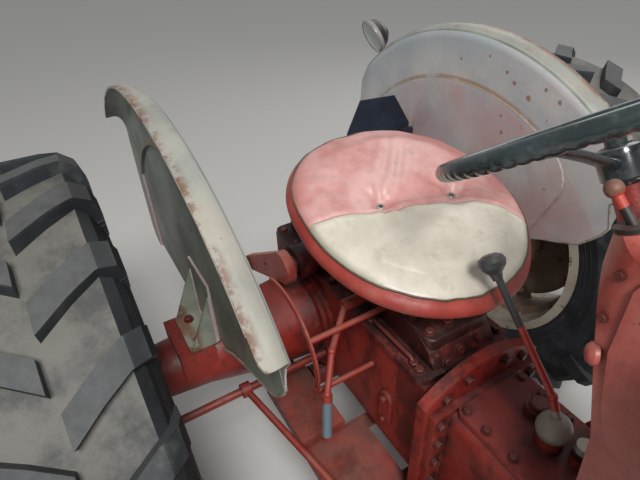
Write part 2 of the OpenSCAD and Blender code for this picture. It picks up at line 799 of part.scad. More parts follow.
module steering_gear() {
    place() color("firebrick") {
        difference() {
            union() {
                side_slab(-58, 58) polygon([[880, bell_top + fit], [870, bell_top + 60], [925, gear_z + 60],
                    [985, gear_z + 50], [1004, bell_top + 60], [1004, bell_top + fit]]);
                translate([pitman_x, 0, pitman_z]) y_rod(40, -pitman_y + 22, pitman_y - 22);
                on_column(560) cylinder(h = 560 - hub_low - 6, r = 22);
            }
            translate([pitman_x, 0, pitman_z]) y_rod(15 + fit, -pitman_y - 1, pitman_y + 1);
            on_column(hub_low + 200) cylinder(h = 200, r = wheel_shaft_r + fit);
        }
    }
}

module steering_wheel() {
    place() color("darkslategray") {
        on_column(0) rotate_extrude($fn = 96) translate([wheel_rim_r, 0]) circle(wheel_tube_r, $fn = 24);
        on_column(hub_low) {
            cylinder(h = hub_h, r = 30);
            translate([0, 0, hub_h]) cylinder(h = 12, r = 14);
            translate([0, 0, -90]) cylinder(h = 100, r = wheel_shaft_r);
            for (k = [0:wheel_spokes - 1]) rotate([0, 0, spoke_start + 360 * k / wheel_spokes])
                bar([24, 0, 24], [wheel_rim_r - 3, 0, hub_low - 4], 6.5);
        }
    }
}

// a left pitman arm with its shaft
module pitman() {
    translate([pitman_x, 0, pitman_z]) y_rod(15, pitman_y - 60, pitman_y + pitman_t + 4);
    side_slab(pitman_y, pitman_y + pitman_t) {
        translate([pitman_x, pitman_z]) circle(32);
        translate([pitman_x, pitman_z - pitman_l]) circle(19);
        translate([pitman_x, pitman_z]) rotate(-90)
            polygon([[0, -30], [0, 30], [pitman_l, 17], [pitman_l, -17]]);
    }
}

module pitman_left() {
    place() color("firebrick") pitman();
}

module pitman_right() {
    place() color("firebrick") mirror([0, 1, 0]) pitman();
}

// a left drag link, from a ball beside the pitman arm to a ball above the steering arm
module drag_link() {
    a = [pitman_x, pitman_y + pitman_t + 24, pitman_z - pitman_l];
    b = [steer_eye[0], steer_eye[1], steer_arm_z + 16 + 26];
    bar(a, b, link_r);
    translate(a) sphere(19);
    translate(b) sphere(20);
    translate([b[0], b[1], b[2] - 23]) cylinder(h = 20, r = 9);
    translate([a[0], 0, a[2]]) y_rod(9, pitman_y + pitman_t + fit, a[1]);
}

module drag_link_left() {
    place() color("firebrick") drag_link();
}

module drag_link_right() {
    place() color("firebrick") mirror([0, 1, 0]) drag_link();
}

// Hood, dash.

// the hood's outer form, made smaller all round by t
module hood_form(t) {
    intersection() {
        side_slab(-hood_hw + t, hood_hw - t) polygon(concat(
            [[hood_x0 - 1, 600], [hood_x0 - 1, hood_z - t], [wheelbase - 120, hood_z - 30 - t]],
            arc_pts([nose_end - 150, hood_z - 192], 150 - t, 78, 8, 7),
            [[nose_end - t, 1060], [nose_end - 6 - t, 600]]));
        cross_slab(hood_x0 - 2, nose_end + 5) round_rect(-hood_hw + t, 500, hood_hw - t,
            hood_z - t, hood_corner_r - t);
        linear_extrude(2000) round_rect(hood_x0 - 400, -hood_hw + t, nose_end - t, hood_hw - t, 90 - t);
    }
}

grille_z0 = 730;
grille_z1 = 1190;
grille_hw = 138;
door_x = [hood_x0 + 60, hood_x0 + 250];
door_hw = 80;

module grille_window(g) {
    round_rect(-grille_hw + g, grille_z0 + g, grille_hw - g, grille_z1 - g, 70 - g);
}

module hood() {
    place() color("gainsboro") difference() {
        hood_form(0);
        hood_form(hood_t);
        // the rear is open to the dash, the underside to the engine
        translate([hood_x0 - 50, -300, 500]) cube([50, 600, 1000]);
        side_slab(-400, 400) polygon([[hood_x0 - 10, 400], [hood_x0 - 10, hood_edge_z],
            [wheelbase - 190, hood_edge_z - 12], [wheelbase - 160, hood_edge_z - 50],
            [wheelbase - 150, 708], [nose_end + 50, 708], [nose_end + 50, 400]]);
        cross_slab(nose_end - 120, nose_end + 50) grille_window(0);
        translate([door_x[0], -door_hw, hood_z - 60]) cube([door_x[1] - door_x[0], 2 * door_hw, 100]);
    }
}

// the lid over the fuel filler and battery
module hood_door() {
    place() color("gainsboro") {
        intersection() {
            difference() {
                hood_form(0);
                hood_form(hood_t);
            }
            translate([door_x[0] + 2, -door_hw + 2, hood_z - 60])
                cube([door_x[1] - door_x[0] - 4, 2 * door_hw - 4, 100]);
        }
    }
}

module grille() {
    place() color("gainsboro") {
        cross_slab(nose_end - 26, nose_end - 8) {
            difference() {
                grille_window(1);
                grille_window(16);
            }
        }
        intersection() {
            cross_slab(nose_end - 30, nose_end) grille_window(8);
            for (k = [0:grille_bars - 1])
                translate([nose_end - 24, -grille_bar_w / 2
                    + (k - (grille_bars - 1) / 2) * 2 * (grille_hw - 12) / (grille_bars + 1), 600])
                    cube([14, grille_bar_w, 700]);
        }
    }
}

headlamp = [wheelbase - 20, hood_hw + 118, 1150];

module headlamps() {
    place() color("dimgray") for (s = [0, 1]) mirror([0, s, 0]) {
        translate(headlamp) {
            rotate([0, 90, 0]) rotate_extrude() polygon([[0, -70], [30, -66], [60, -46], [78, -10],
                [headlamp_r, 0], [headlamp_r, 16], [headlamp_r - 8, 20], [60, 30], [0, 38]]);
        }
        translate([headlamp[0] - 30, 0, headlamp[2]]) y_rod(12, hood_hw + fit, headlamp[1] - 50);
        translate([headlamp[0] - 54, hood_hw + fit, headlamp[2] - 34]) cube([48, 5, 68]);
    }
}

dash_hw = 138;
dash_slope = atan2(22, 40);
throttle_foot = [766, -106, 1330 + 16 * tan(dash_slope)];
throttle_lean = 48;

// the dash's outer form, made smaller by t
module dash_form(t) {
    intersection() {
        side_slab(-dash_hw - 50, dash_hw + 50) polygon([[846 + t, bell_top - 10], [826 + t, 1050],
            [778 + t, 1218], [752 + t, 1290], [750 + t, 1330 - t], [790, 1352 - t], [hood_x0 + 30, 1356 - t],
            [hood_x0 + 30, bell_top - 10]]);
        linear_extrude(2000) round_rect(740 + t, -dash_hw + t, 1200, dash_hw - t, 52 - t);
        cross_slab(700, hood_x0 - fit + 3 * t)
            round_rect(-dash_hw - 1 + t, 700, dash_hw + 1 - t, 1357 - t, 40 - t);
    }
}

module dash() {
    place() color("firebrick") difference() {
        dash_form(0);
        dash_form(4);
        translate([700, -300, bell_top - 60]) cube([300, 600, 64]);
        on_column(400) cylinder(h = 400, r = 30);
        translate(throttle_foot) rotate([0, -throttle_lean, 0]) cylinder(h = 60, r = 9, center = true);
    }
}

module throttle_lever() {
    place() color("saddlebrown") translate(throttle_foot) {
        rotate([0, -throttle_lean, 0]) {
            translate([0, 0, -16]) cylinder(h = 60, r = 6);
            translate([0, 0, 50]) sphere(11);
        }
        rotate([0, -dash_slope, 0]) translate([0, 0, fit]) cylinder(h = 6, r = 22);
    }
}

// gear lever with its dust dome and a pear-shaped knob, which clears the cushion's front edge
module gear_lever() {
    foot = [725, 0, axle_z + gearbox_top + 34];
    bend = foot + [-22, 0, 82];
    knob = [seat_x + seat_hl - 17, -23, seat_z - 12];
    place() color("firebrick") {
        translate(foot) rotate_extrude() polygon(concat([[0, 0], [29, 0], [31, 8]],
            arc_pts([0, 14], 33, 0, 84, 8), [[0, 47]]));
        bar(foot + [0, 0, 40], bend, 8);
        translate(bend) sphere(9.5);
        bar(bend, knob, 7);
        translate(knob) rotate([0, atan2(knob[0] - bend[0], knob[2] - bend[2]), 0]) rotate_extrude()
            polygon([[0, -26], [9, -26], [12, -14], [23, -2], [26, 8], [22, 17], [12, 22], [0, 23]]);
    }
}

module starter_button() {
    place() color("gainsboro") translate([778, 20, axle_z + gearbox_top]) {
        cylinder(h = 26, r = 18);
        translate([0, 0, 26]) cylinder(h = 22, r = 16);
    }
}

// Seat.

// a frame on the cushion's middle, tilted with the seat
module on_seat() {
    translate([seat_x, 0, seat_z]) rotate([0, seat_tilt, 0]) children();
}

module seat_bracket() {
    cover = axle_z + housing_top + 78;
    place() color("firebrick") {
        translate([120, -70, cover]) cube([90, 140, 14]);
        side_slab(-40, 40) polygon([[130, cover + 14], [165, cover + 14], [206, seat_z - 134],
            [300, seat_z - 134], [304, seat_z - 118], [192, seat_z - 92], [152, seat_z - 146]]);
        on_seat() translate([-60, -44, -112]) cube([120, 88, 14]);
    }
}

// the pressed pan, an oval dish
module seat_pan() {
    place() color("firebrick") on_seat() scale([seat_hl / 100, seat_hw / 100, 1])
        rotate_extrude($fn = 72) polygon([[0, -98], [30, -98], [70, -88], [88, -74], [97, -52],
            [95.5, -50], [86, -70], [69, -83], [30, -93], [0, -93]]);
}

module seat_cushion() {
    place() color("indianred") on_seat() scale([seat_hl / 100, seat_hw / 100, 1])
        rotate_extrude($fn = 72) polygon([[0, -92.7], [29.9, -92.7], [68.8, -82.7], [85.6, -69.6],
            [95, -50], [99, -38], [100, -24], [98.5, -10], [93, -2], [84, 2], [0, 6]]);
}

// Fenders, boards.

// the pressed sheet's section, in radius and distance outboard of the inner face
module fender_section() {
    difference() {
        union() {
            square([fender_r - shoulder_r, fender_t]);
            translate([fender_r - shoulder_r, shoulder_r]) circle(shoulder_r);
            translate([fender_r - fender_t, shoulder_r]) square([fender_t, crown_w - shoulder_r]);
        }
        translate([fender_r - shoulder_r, shoulder_r]) circle(shoulder_r - fender_t);
        translate([fender_r - 2 * shoulder_r - 1, fender_t]) square([shoulder_r + 1, 2 * shoulder_r]);
        translate([fender_r - 2 * shoulder_r, shoulder_r]) square([2 * shoulder_r - fender_t, crown_w]);
    }
}

fender_foot_z = 72;
crown_front_a = 41.7;
crown_rear_a = 132;
panel_rise = 8;
panel_face = fender_y - panel_rise;
panel_c = [266, 412];
panel_corner_r = panel_r - norm(panel_c);

// the fender's side outline in X and height above the axle, clear of the axle trumpet
module fender_outline() {
    clear_z = trumpet_r + 32;
    rear_x = polar(fender_r - 71, crown_rear_a + 12)[0] - 3;
    polygon(concat([polar(2 * fender_r, crown_rear_a - 10), polar(fender_r + 40, crown_rear_a - 8),
        polar(fender_r + 2, crown_rear_a), polar(fender_r - 34, crown_rear_a + 7),
        polar(fender_r - 71, crown_rear_a + 12), [rear_x, 300]],
        arc_pts([rear_x + 60, fender_foot_z + 60], 60, 180, 270, 4),
        [[-150, fender_foot_z], [-112, clear_z], [112, clear_z], [200, 170], [336, 244], [401, 270],
        [439, 290], [463, 317], [484, 344], [496, 369]],
        [polar(fender_r - 81, crown_front_a - 2.7), polar(fender_r - 60, crown_front_a - 1.2),
        polar(fender_r - 8, crown_front_a + 0.1), polar(2 * fender_r, crown_front_a - 1)]));
}

// the raised panel's outline, made smaller by t
module panel_outline(t) {
    intersection() {
        circle(panel_r - t, $fn = 96);
        polygon(concat([[-470 + t, 0], [-470 + t, 700], panel_c * 700 / norm(panel_c)],
            arc_pts(panel_c, panel_corner_r - t, atan2(panel_c[1], panel_c[0]), -30, 6),
            [[290 - t, 230], [262 - t, 0]]));
    }
}

module fender() {
    translate([0, 0, axle_z]) {
        difference() {
            intersection() {
                translate([0, fender_y, 0]) y_turned() fender_section();
                side_slab(fender_y - 1, fender_y + crown_w + 1) fender_outline();
                translate([0, 0, -900]) linear_extrude(1800)
                    round_rect(-2 * fender_r, fender_y - 60, fender_r * cos(crown_front_a) + 2,
                        fender_y + crown_w, 24);
            }
            side_slab(fender_y - 2, fender_y + fender_t + 1) panel_outline(fender_t);
        }
        side_slab(panel_face, panel_face + fender_t) intersection() {
            panel_outline(0);
            fender_outline();
        }
        side_slab(panel_face, fender_y + fender_t) intersection() {
            difference() {
                panel_outline(0);
                panel_outline(fender_t);
            }
            fender_outline();
        }
    }
    // bracket from the axle pad to the sheet
    translate([-70, panel_face + fender_t, axle_z + trumpet_r + 16]) {
        translate([0, 6, 0]) cube([140, 72, 8]);
        translate([0, 0, 3]) cube([140, 6, 187]);
        for (x = [0, 134]) translate([x, 0, 0]) rotate([90, 0, 90]) linear_extrude(6)
            polygon([[4, 4], [74, 4], [6, 160], [4, 160]]);
    }
}

module fender_left() {
    place() color("gainsboro") fender();
}

module fender_right() {
    place() color("gainsboro") mirror([0, 1, 0]) fender();
}

lamp_angle = 129;
lamp_r = 60;

// work lamp on the left fender's rear top, turned inwards and down
module work_lamp() {
    stem = fender_y + crown_w - 11;
    mid_r = fender_r + lamp_r + 7;
    place() color("black") {
        translate([0, stem, axle_z]) rotate([0, -lamp_angle, 0]) translate([fender_r + fit, 0, 0])
            rotate([0, 90, 0]) cylinder(h = mid_r - fender_r - 12, r = 9);
        translate([mid_r * cos(lamp_angle), stem, axle_z + mid_r * sin(lamp_angle)])
            rotate([0, 115, -98]) rotate_extrude() polygon([[0, -38], [26, -34], [46, -16], [lamp_r - 4, 4],
                [lamp_r, 6], [lamp_r, 16], [lamp_r - 6, 20], [30, 24], [0, 26]]);
    }
}

// flat plate behind the seat, on a tab from the left fender's panel
module sign_plate() {
    place() color("midnightblue") {
        cross_slab(-225, -222) polygon([[150, 960], [panel_face - 8, 960], [panel_face - 8, 1012],
            [343, 1116], [212, 1126], [165, 1030]]);
        translate([-222, panel_face - 44, 974]) cube([14, 44, 22]);
    }
}

// the steps beside the housing: a raised pressing behind, a board in front, on two bars
module footboards() {
    board_z = axle_z - housing_deep;
    place() color("firebrick") {
        for (s = [0, 1]) mirror([0, s, 0]) {
            translate([303, housing_hw + 5, board_z]) cube([227, 313 - housing_hw, 6]);
            translate([520, 166, board_z]) cube([90, 152, 6]);
            translate([303, 312, board_z - 24]) cube([307, 6, 24]);
            difference() {
                translate([77, 187, board_z]) cube([226, 133, 40]);
                translate([60, 180, board_z - 1]) cube([237, 134, 35]);
            }
            translate([286, 187, board_z]) cube([17, 133, 6]);
        }
        for (x = [290, 480]) translate([x, -240, board_z - 10]) cube([40, 480, 10]);
    }
}

// brake and clutch pedals on a cross shaft, each with its pull rod to the brake's cross rod
module pedals() {
    brake = [138, axle_z - 50];
    cross = [640, axle_z - 140];
    place() color("firebrick") for (s = [0, 1]) mirror([0, s, 0]) {
        translate([cross[0], 0, cross[1]]) y_rod(14, gearbox_hw, 276);
        side_slab(214, 232) polygon([[628, cross[1] - 10], [654, cross[1] - 10], [740, axle_z + 56],
            [716, axle_z + 66]]);
        translate([728, 223, axle_z + 58]) rotate([0, 64, 0]) cylinder(h = 10, r = 36);
        translate([cross[0], 0, cross[1]]) y_rod(27, 256, 270);
        bar([brake[0], 397, brake[1]], [cross[0] - 8, 268, cross[1] - 12], 9);
        translate([brake[0], 0, brake[1]]) {
            y_rod(11, housing_hw + 24, rear_y - 123);
            y_rod(20, 384, 410);
        }
    }
}

// lift control on the right: a slotted quadrant, its two stays, and the lever with its grip
module quadrant() {
    c = [200, axle_z + 150];
    place() color("firebrick") {
        side_slab(-293, -287) difference() {
            polygon(concat(arc_pts(c, 157, 114, -29, 22), arc_pts(c, 143, -29, 114, 22)));
            polygon(concat(arc_pts(c, 153, 100, -18, 18), arc_pts(c, 147, -18, 100, 18)));
        }
        translate([c[0] + 120, 0, c[1] + 90]) y_rod(7, -292, -88);
        translate([c[0] + 134, 0, c[1] - 68]) y_rod(7, -292, -housing_hw);
        translate([c[0] + 50, 0, c[1] + 75]) y_rod(15, -160, -88);
        bar([c[0] + 50, -152, c[1] + 75], [c[0] + 130, -240, c[1] + 40], 8);
        translate([c[0] + 130, -240, c[1] + 40]) sphere(9.5);
        bar([c[0] + 130, -240, c[1] + 40], [c[0] + 178, -283, c[1] - 30], 8);
        translate([c[0] + 178, -283, c[1] - 30]) sphere(9.5);
        bar([c[0] + 178, -283, c[1] - 30], [c[0] + 200, -300, c[1] - 142], 12);
    }
}

rear_housing();
rear_cover();
lift_cover();
gearbox();
shift_cover();
engine_block();
cylinder_head();
oil_pan();
exhaust();
intake();
generator();
fan();
radiator();
fuel_tank();
grille();
hood();
hood_door();
headlamps();
dash();
steering_gear();
steering_wheel();
pitman_left();
pitman_right();
drag_link_left();
drag_link_right();
throttle_lever();
gear_lever();
starter_button();
seat_bracket();
seat_pan();
seat_cushion();
fender_left();
fender_right();
work_lamp();
sign_plate();
footboards();
pedals();
quadrant();
lift_arms();
lift_rod_left();
lift_rod_right();
lower_link_left();
lower_link_right();
drawbar();
front_support();
front_axle();
knuckle_left();
knuckle_right();
front_rim_left();
front_rim_right();
front_tyre_left();
front_tyre_right();
rear_rim_left();
rear_rim_right();
rear_tyre_left();
rear_tyre_right();
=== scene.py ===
"""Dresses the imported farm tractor: weathered enamel on its castings and sheet, rubber, chrome and
glass, a stuffed vinyl seat, the grooved steering wheel, bolts and small fittings."""
import bmesh
import bpy
import numpy as np
from mathutils import Matrix, Vector


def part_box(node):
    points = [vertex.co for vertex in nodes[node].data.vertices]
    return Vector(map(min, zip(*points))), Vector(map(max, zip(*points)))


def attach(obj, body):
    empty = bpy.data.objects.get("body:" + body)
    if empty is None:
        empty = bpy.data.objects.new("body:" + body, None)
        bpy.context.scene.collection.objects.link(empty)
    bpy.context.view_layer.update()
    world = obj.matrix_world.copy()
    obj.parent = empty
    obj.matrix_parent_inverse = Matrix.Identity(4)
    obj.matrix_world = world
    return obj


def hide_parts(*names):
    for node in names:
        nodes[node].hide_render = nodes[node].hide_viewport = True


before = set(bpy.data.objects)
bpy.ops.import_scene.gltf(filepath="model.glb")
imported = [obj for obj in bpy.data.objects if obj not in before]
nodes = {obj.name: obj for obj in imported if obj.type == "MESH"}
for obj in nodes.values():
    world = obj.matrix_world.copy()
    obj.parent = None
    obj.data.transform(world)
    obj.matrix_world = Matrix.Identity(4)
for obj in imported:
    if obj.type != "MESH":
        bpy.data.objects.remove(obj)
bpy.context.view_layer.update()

# THE CAMERA stands above the right front of the seat and looks back and down to the left, as the
# photographer did. Its place and angles come from a fit of the rear rim, fenders and tyre.
LENS_MM, SENSOR_MM = 27.5, 36.0
EYE = (0.2297, -0.6217, 1.6535)
EYE_RIGHT, EYE_UP = (0.51006, 0.85955, -0.03187), (-0.48874, 0.32011, 0.81158)
EYE_FORWARD = (-0.70779, 0.39838, -0.58337)
lens = bpy.data.cameras.new("photo_camera")
lens.lens, lens.sensor_width, lens.clip_start = LENS_MM, SENSOR_MM, 0.02
camera = bpy.data.objects.new("photo_camera", lens)
turn = np.eye(4)
turn[:3, 0], turn[:3, 1], turn[:3, 2], turn[:3, 3] = EYE_RIGHT, EYE_UP, -np.array(EYE_FORWARD), EYE
camera.matrix_world = Matrix(turn.tolist())
bpy.context.scene.collection.objects.link(camera)
bpy.context.scene.camera = camera

# THE STAGE is a pale matt floor under a pale sky, with one large soft lamp high on the right front,
# where the sun stands, and a weaker one across from it.
FLOOR_HEX, FLOOR_HALF, SKY_HEX, SKY_STRENGTH = "#c9c7c3", 30, "#e9ebed", 0.46
# name, place, width in metres, power in watts, and the point on the tractor that they shine at
LAMPS = (("key", (2.2, -1.2, 4.4), 1.3, 205.0), ("fill", (-2.5, 3.4, 3.0), 3.0, 30.0))
LIT_POINT = Vector((0, 0, 0.7))


def srgb(code):
    """Linear RGBA of an sRGB hex: c / 12.92 up to 0.04045, and ((c + 0.055) / 1.055) ** 2.4 above."""
    c = np.array([int(code[i:i + 2], 16) for i in (1, 3, 5)]) / 255
    return (*np.where(c <= 0.04045, c / 12.92, ((c + 0.055) / 1.055) ** 2.4).tolist(), 1.0)


def feed(node, inputs):
    """Fills a node's inputs: outputs of other nodes are linked, hex colours and plain values are set."""
    for key, value in inputs.items():
        if isinstance(value, bpy.types.NodeSocket):
            node.id_data.links.new(value, node.inputs[key])
        else:
            node.inputs[key].default_value = srgb(value) if isinstance(value, str) else value


def add(kind, inputs, tree=None, **settings):
    """Adds one shader node with its properties and inputs, in the tree that the inputs come from or in
    the one given."""
    if tree is None:
        tree = next(value.id_data for value in inputs.values() if isinstance(value, bpy.types.NodeSocket))
    node = tree.nodes.new("ShaderNode" + kind)
    for key, value in settings.items():
        setattr(node, key, value)
    feed(node, inputs)
    return node


def new_material(name, inputs):
    """A node material with one Principled shader and those inputs, as (material, tree, shader)."""
    made = bpy.data.materials.new(name)
    made.use_nodes = True
    tree = made.node_tree
    tree.nodes.clear()
    shader = add("BsdfPrincipled", inputs, tree)
    add("OutputMaterial", {"Surface": shader.outputs["BSDF"]})
    return made, tree, shader


def mesh_object(name, points, faces, smooth=True):
    """A mesh object from an array of points in metres and a list of faces."""
    mesh = bpy.data.meshes.new(name)
    mesh.from_pydata(np.asarray(points, float).reshape(-1, 3).tolist(), [], faces)
    mesh.validate()
    mesh.polygons.foreach_set("use_smooth", [smooth] * len(mesh.polygons))
    made = bpy.data.objects.new(name, mesh)
    bpy.context.scene.collection.objects.link(made)
    return made


corners = [(x * FLOOR_HALF, y * FLOOR_HALF, 0) for x, y in ((-1, -1), (1, -1), (1, 1), (-1, 1))]
floor = mesh_object("floor", corners, [(0, 1, 2, 3)], False)
floor.data.materials.append(new_material("matt_floor_paint", {"Base Color": FLOOR_HEX, "Roughness": 0.95})[0])
world = bpy.data.worlds.new("sky")
world.use_nodes = True
feed(world.node_tree.nodes["Background"], {"Color": SKY_HEX, "Strength": SKY_STRENGTH})
bpy.context.scene.world = world
for lamp_name, spot, width, watts in LAMPS:
    light = bpy.data.lights.new(lamp_name, "AREA")
    light.shape, light.size, light.energy = "DISK", width, watts
    lamp = bpy.data.objects.new(lamp_name, light)
    lamp.location = spot
    lamp.rotation_euler = (LIT_POINT - Vector(spot)).to_track_quat("-Z", "Y").to_euler()
    bpy.context.scene.collection.objects.link(lamp)
bpy.context.scene.view_settings.view_transform = "Standard"

# THE CASTINGS AND PRESSINGS carry a sprayed synthetic enamel that sun, oil and boots have worn. It
# has chalked to a paler tone in broad patches, holds brown dust on what faces up, goes grease black in
# oil stains and, as painted shade, in the corners, and shows rust where edges and spots have lost it.
DUST_HEX, GREASE_AND_SHADE_HEX, RUST_HEX, OLD_RUST_HEX = "#8f7264", "#1d1213", "#7a4426", "#45281d"
AXLE_X, AXLE_Z = -0.745, 0.615


def axle_frame(points):
    """Points in mm, with x counted from the rear axle, as metres in the shared frame."""
    return np.asarray(points, float) / 1000 + np.array([AXLE_X, 0, 0])


def position(tree):
    """The object's own coordinates, in metres, on which every pattern is laid."""
    return add("TexCoord", {}, tree).outputs["Object"]


def noise(at, size, detail=4.0, rough=0.55, seed=0.0, stretch=(1.0, 1.0, 1.0)):
    """Fractal noise whose largest blotches are size metres wide, shifted by a seed, drawn out by stretch."""
    moved = add("Mapping", {"Vector": at, "Location": (seed, seed * 1.7, -seed),
                            "Scale": tuple(1 / s for s in stretch)}).outputs[0]
    return add("TexNoise", {"Vector": moved, "Scale": 1 / size, "Detail": detail,
                            "Roughness": rough}).outputs["Fac"]


def ramp(value, low, high):
    """0 below low, 1 above high and a smooth step between them, also with low above high."""
    return add("MapRange", {"Value": value, "From Min": low, "From Max": high},
               interpolation_type="SMOOTHSTEP").outputs["Result"]


def blotches(at, low, high, *pattern):
    """Noise as patches, 0 where it is below low and 1 where it is above high."""
    return ramp(noise(at, *pattern), low, high)


def maths(what, a, b=0.0, limit=False):
    """One operation on two numbers, at least one of them an output."""
    return add("Math", {0: a, 1: b}, operation=what, use_clamp=limit).outputs[0]


def times(a, b):
    """The product of two numbers."""
    return maths("MULTIPLY", a, b)


def most(a, b):
    """The larger of two numbers."""
    return maths("MAXIMUM", a, b)


def blend_colour(share, a, b):
    """Colour a where share is 0 and colour b where it is 1, each a hex or an output."""
    return add("Mix", {0: share, 6: a, 7: b}, data_type="RGBA").outputs[2]


def tint(colour, share, strength, towards):
    """A colour that goes by strength towards another where share is 1."""
    return blend_colour(times(share, strength), colour, towards)


def bumped(height, strength, distance, **over):
    """The surface's direction with a height as a bump on it, over another bump if one is given."""
    inputs = {"Height": height, "Strength": strength, "Distance": distance, **over}
    return add("Bump", inputs).outputs["Normal"]


def vector(what, a, b=None, out="Vector"):
    """One operation on one or two vectors."""
    inputs = {0: a} if b is None else {0: a, 1: b}
    return add("VectorMath", inputs, operation=what).outputs[out]


def around_axle(at, centre):
    """The offset from an axle along Y through centre: its X, Y and Z, its part square to the axle as a
    vector, and that part's length."""
    parts = add("SeparateXYZ", {0: vector("SUBTRACT", at, centre)}).outputs
    flat = add("CombineXYZ", {0: parts["X"], 2: parts["Z"]}).outputs[0]
    return parts, flat, vector("LENGTH", flat, out="Value")


def facing(tree, axis):
    """How far a face's direction agrees with an axis, from -1 to 1."""
    return vector("DOT_PRODUCT", add("NewGeometry", {}, tree).outputs["Normal"], axis, "Value")


def worn_edge(tree, width):
    """1 along sharp edges, from how far a bevel of that width turns the surface's direction."""
    soft = add("Bevel", {"Radius": width}, tree, samples=4).outputs[0]
    return ramp(facing(tree, soft), 0.985, 0.90)


def beside(at, start, end, reach):
    """1 within reach mm of the line from start to end, both in the axle frame: the distance is
    |d - u clamp(d.u, 0, L)| with d from start to the point and u along the line."""
    a, b = axle_frame(start), axle_frame(end)
    length = max(float(np.linalg.norm(b - a)), 1e-6)
    u = tuple((b - a) / length)
    d = vector("SUBTRACT", at, tuple(a))
    run = maths("MINIMUM", most(vector("DOT_PRODUCT", d, u, "Value"), 0.0), length)
    foot = add("VectorMath", {0: u, "Scale": run}, operation="SCALE").outputs["Vector"]
    off = vector("LENGTH", vector("SUBTRACT", d, foot), out="Value")
    return ramp(off, reach / 1000 + 0.0004, reach / 1000 - 0.0004)


def enamel(name, fresh, chalked, dust=0.4, grease_and_shade=0.5, rust=0.35, edge=0.0025, grain=0.006, bump=0.25,
           gloss=0.42, dusty=DUST_HEX, stains=0.35, parts=(), under=None):
    """Sprayed enamel over cast iron or sheet: fresh and chalked tones, dust, grease stains with painted
    shade in the corners, rust, edge wear. grease_and_shade is how far both darken it, stains is the share
    of open surface that old oil darkens, parts are (start, end, reach, colour) for what is another colour,
    and under may recolour it all."""
    made, tree, shader = new_material(name, {})
    at = position(tree)
    patches = blotches(at, 0.38, 0.66, 0.22, 6.0, 0.6)
    colour = blend_colour(patches, fresh, chalked)
    colour = tint(colour, blotches(at, 0.35, 0.75, 0.018, 5.0, 0.7, 3.0), 0.30, chalked)
    if under:
        colour = under(tree, at, colour)
    for start, end, reach, code in parts:
        colour = blend_colour(beside(at, start, end, reach), colour, code)
    settled = times(times(ramp(facing(tree, (0, 0, 1)), 0.25, 0.95), dust),
                    blotches(at, 0.30, 0.72, 0.09, 6.0, 0.65, 7.0))
    colour = blend_colour(settled, colour, dusty)
    # painted shade: ambient occlusion darkens the corners towards the grease colour, joined with the real oil
    # stains
    nook = add("AmbientOcclusion", {"Distance": 0.09}, tree, samples=4).outputs["AO"]
    grease_and_corner_shade = times(ramp(nook, 0.92, 0.40), blotches(at, 0.26, 0.58, 0.05, 5.0, 0.6, 11.0))
    stained = blotches(at, 0.62 - 0.2 * stains, 0.74 - 0.2 * stains, 0.14, 8.0, 0.7, 37.0, (1.0, 1.0, 1.8))
    grease_and_corner_shade = most(grease_and_corner_shade, times(stained, 0.3 + 0.5 * stains))
    colour = tint(colour, grease_and_corner_shade, grease_and_shade, GREASE_AND_SHADE_HEX)
    spots = blotches(at, 0.66 - 0.10 * rust, 0.72 - 0.08 * rust, 0.035, 7.0, 0.72, 19.0)
    chips = times(worn_edge(tree, edge), blotches(at, 0.42, 0.58, 0.012, 4.0, 0.7, 23.0))
    bare = maths("MAXIMUM", times(spots, min(1.0, rust * 2)), chips, True)
    rusty = blend_colour(noise(at, 0.006, 3.0, 0.6, 29.0), RUST_HEX, OLD_RUST_HEX)
    colour = tint(colour, bare, 0.85, rusty)
    rough = maths("ADD", times(most(bare, settled), 0.4), gloss, True)
    rough = maths("SUBTRACT", rough, times(grease_and_corner_shade, 0.12 * grease_and_shade))
    rough = maths("ADD", rough, times(patches, 0.16), True)
    height = maths("SUBTRACT", noise(at, grain, 3.0, 0.6, 31.0), times(bare, 0.8))
    feed(shader, {"Base Color": colour, "Roughness": rough, "Normal": bumped(height, bump, 0.0012)})
    return made


def paint_nodes(material, *names):
    """Gives CAD nodes one material, on every slot that they have."""
    for name in names:
        slots = nodes[name].data.materials
        if not slots:
            slots.append(material)
        for i in range(len(slots)):
            slots[i] = material


red_casting = enamel("red_enamel_on_cast_iron", "#8c2219", "#963226", dust=0.60, grease_and_shade=0.95, rust=0.6,
                     bump=0.45, dusty="#5e3a33", stains=0.75)
red_sheet = enamel("red_enamel_on_pressed_steel", "#8f2c22", "#b4645a", dust=0.45, grease_and_shade=0.65, rust=0.7,
                   grain=0.02, bump=0.10, gloss=0.34, stains=0.45)
red_step = enamel("trodden_red_enamel", "#86352c", "#93493d", dust=0.85, grease_and_shade=0.6, rust=0.8,
                  dusty="#6f4c41", stains=0.6)
red_forging = enamel("dark_red_enamel_on_forged_steel", "#7a2019", "#8b3527", dust=0.35, grease_and_shade=0.7,
                     rust=0.75)
oily_casting = enamel("oil_soaked_red_enamel", "#742019", "#7f2f26", dust=0.95, grease_and_shade=1.0, rust=0.7,
                      bump=0.5, dusty="#43292a", stains=1.0)
maroon_casting = enamel("dusty_red_enamel_on_cast_iron", "#8a231b", "#923428", dust=0.75, grease_and_shade=1.0,
                        rust=0.6, bump=0.45, dusty="#6a3a3c", stains=0.7)
paint_nodes(red_casting, "rear_housing", "rear_cover", "engine_block", "cylinder_head", "oil_pan",
            "steering_gear", "front_support", "front_axle")
paint_nodes(oily_casting, "lift_cover")
paint_nodes(maroon_casting, "gearbox", "shift_cover")
paint_nodes(red_sheet, "dash", "seat_pan", "seat_bracket", "fuel_tank", "lift_arms")
paint_nodes(red_step, "footboards")
paint_nodes(red_forging, "pitman_left", "pitman_right", "drag_link_left", "drag_link_right", "knuckle_left",
            "knuckle_right", "pedals")

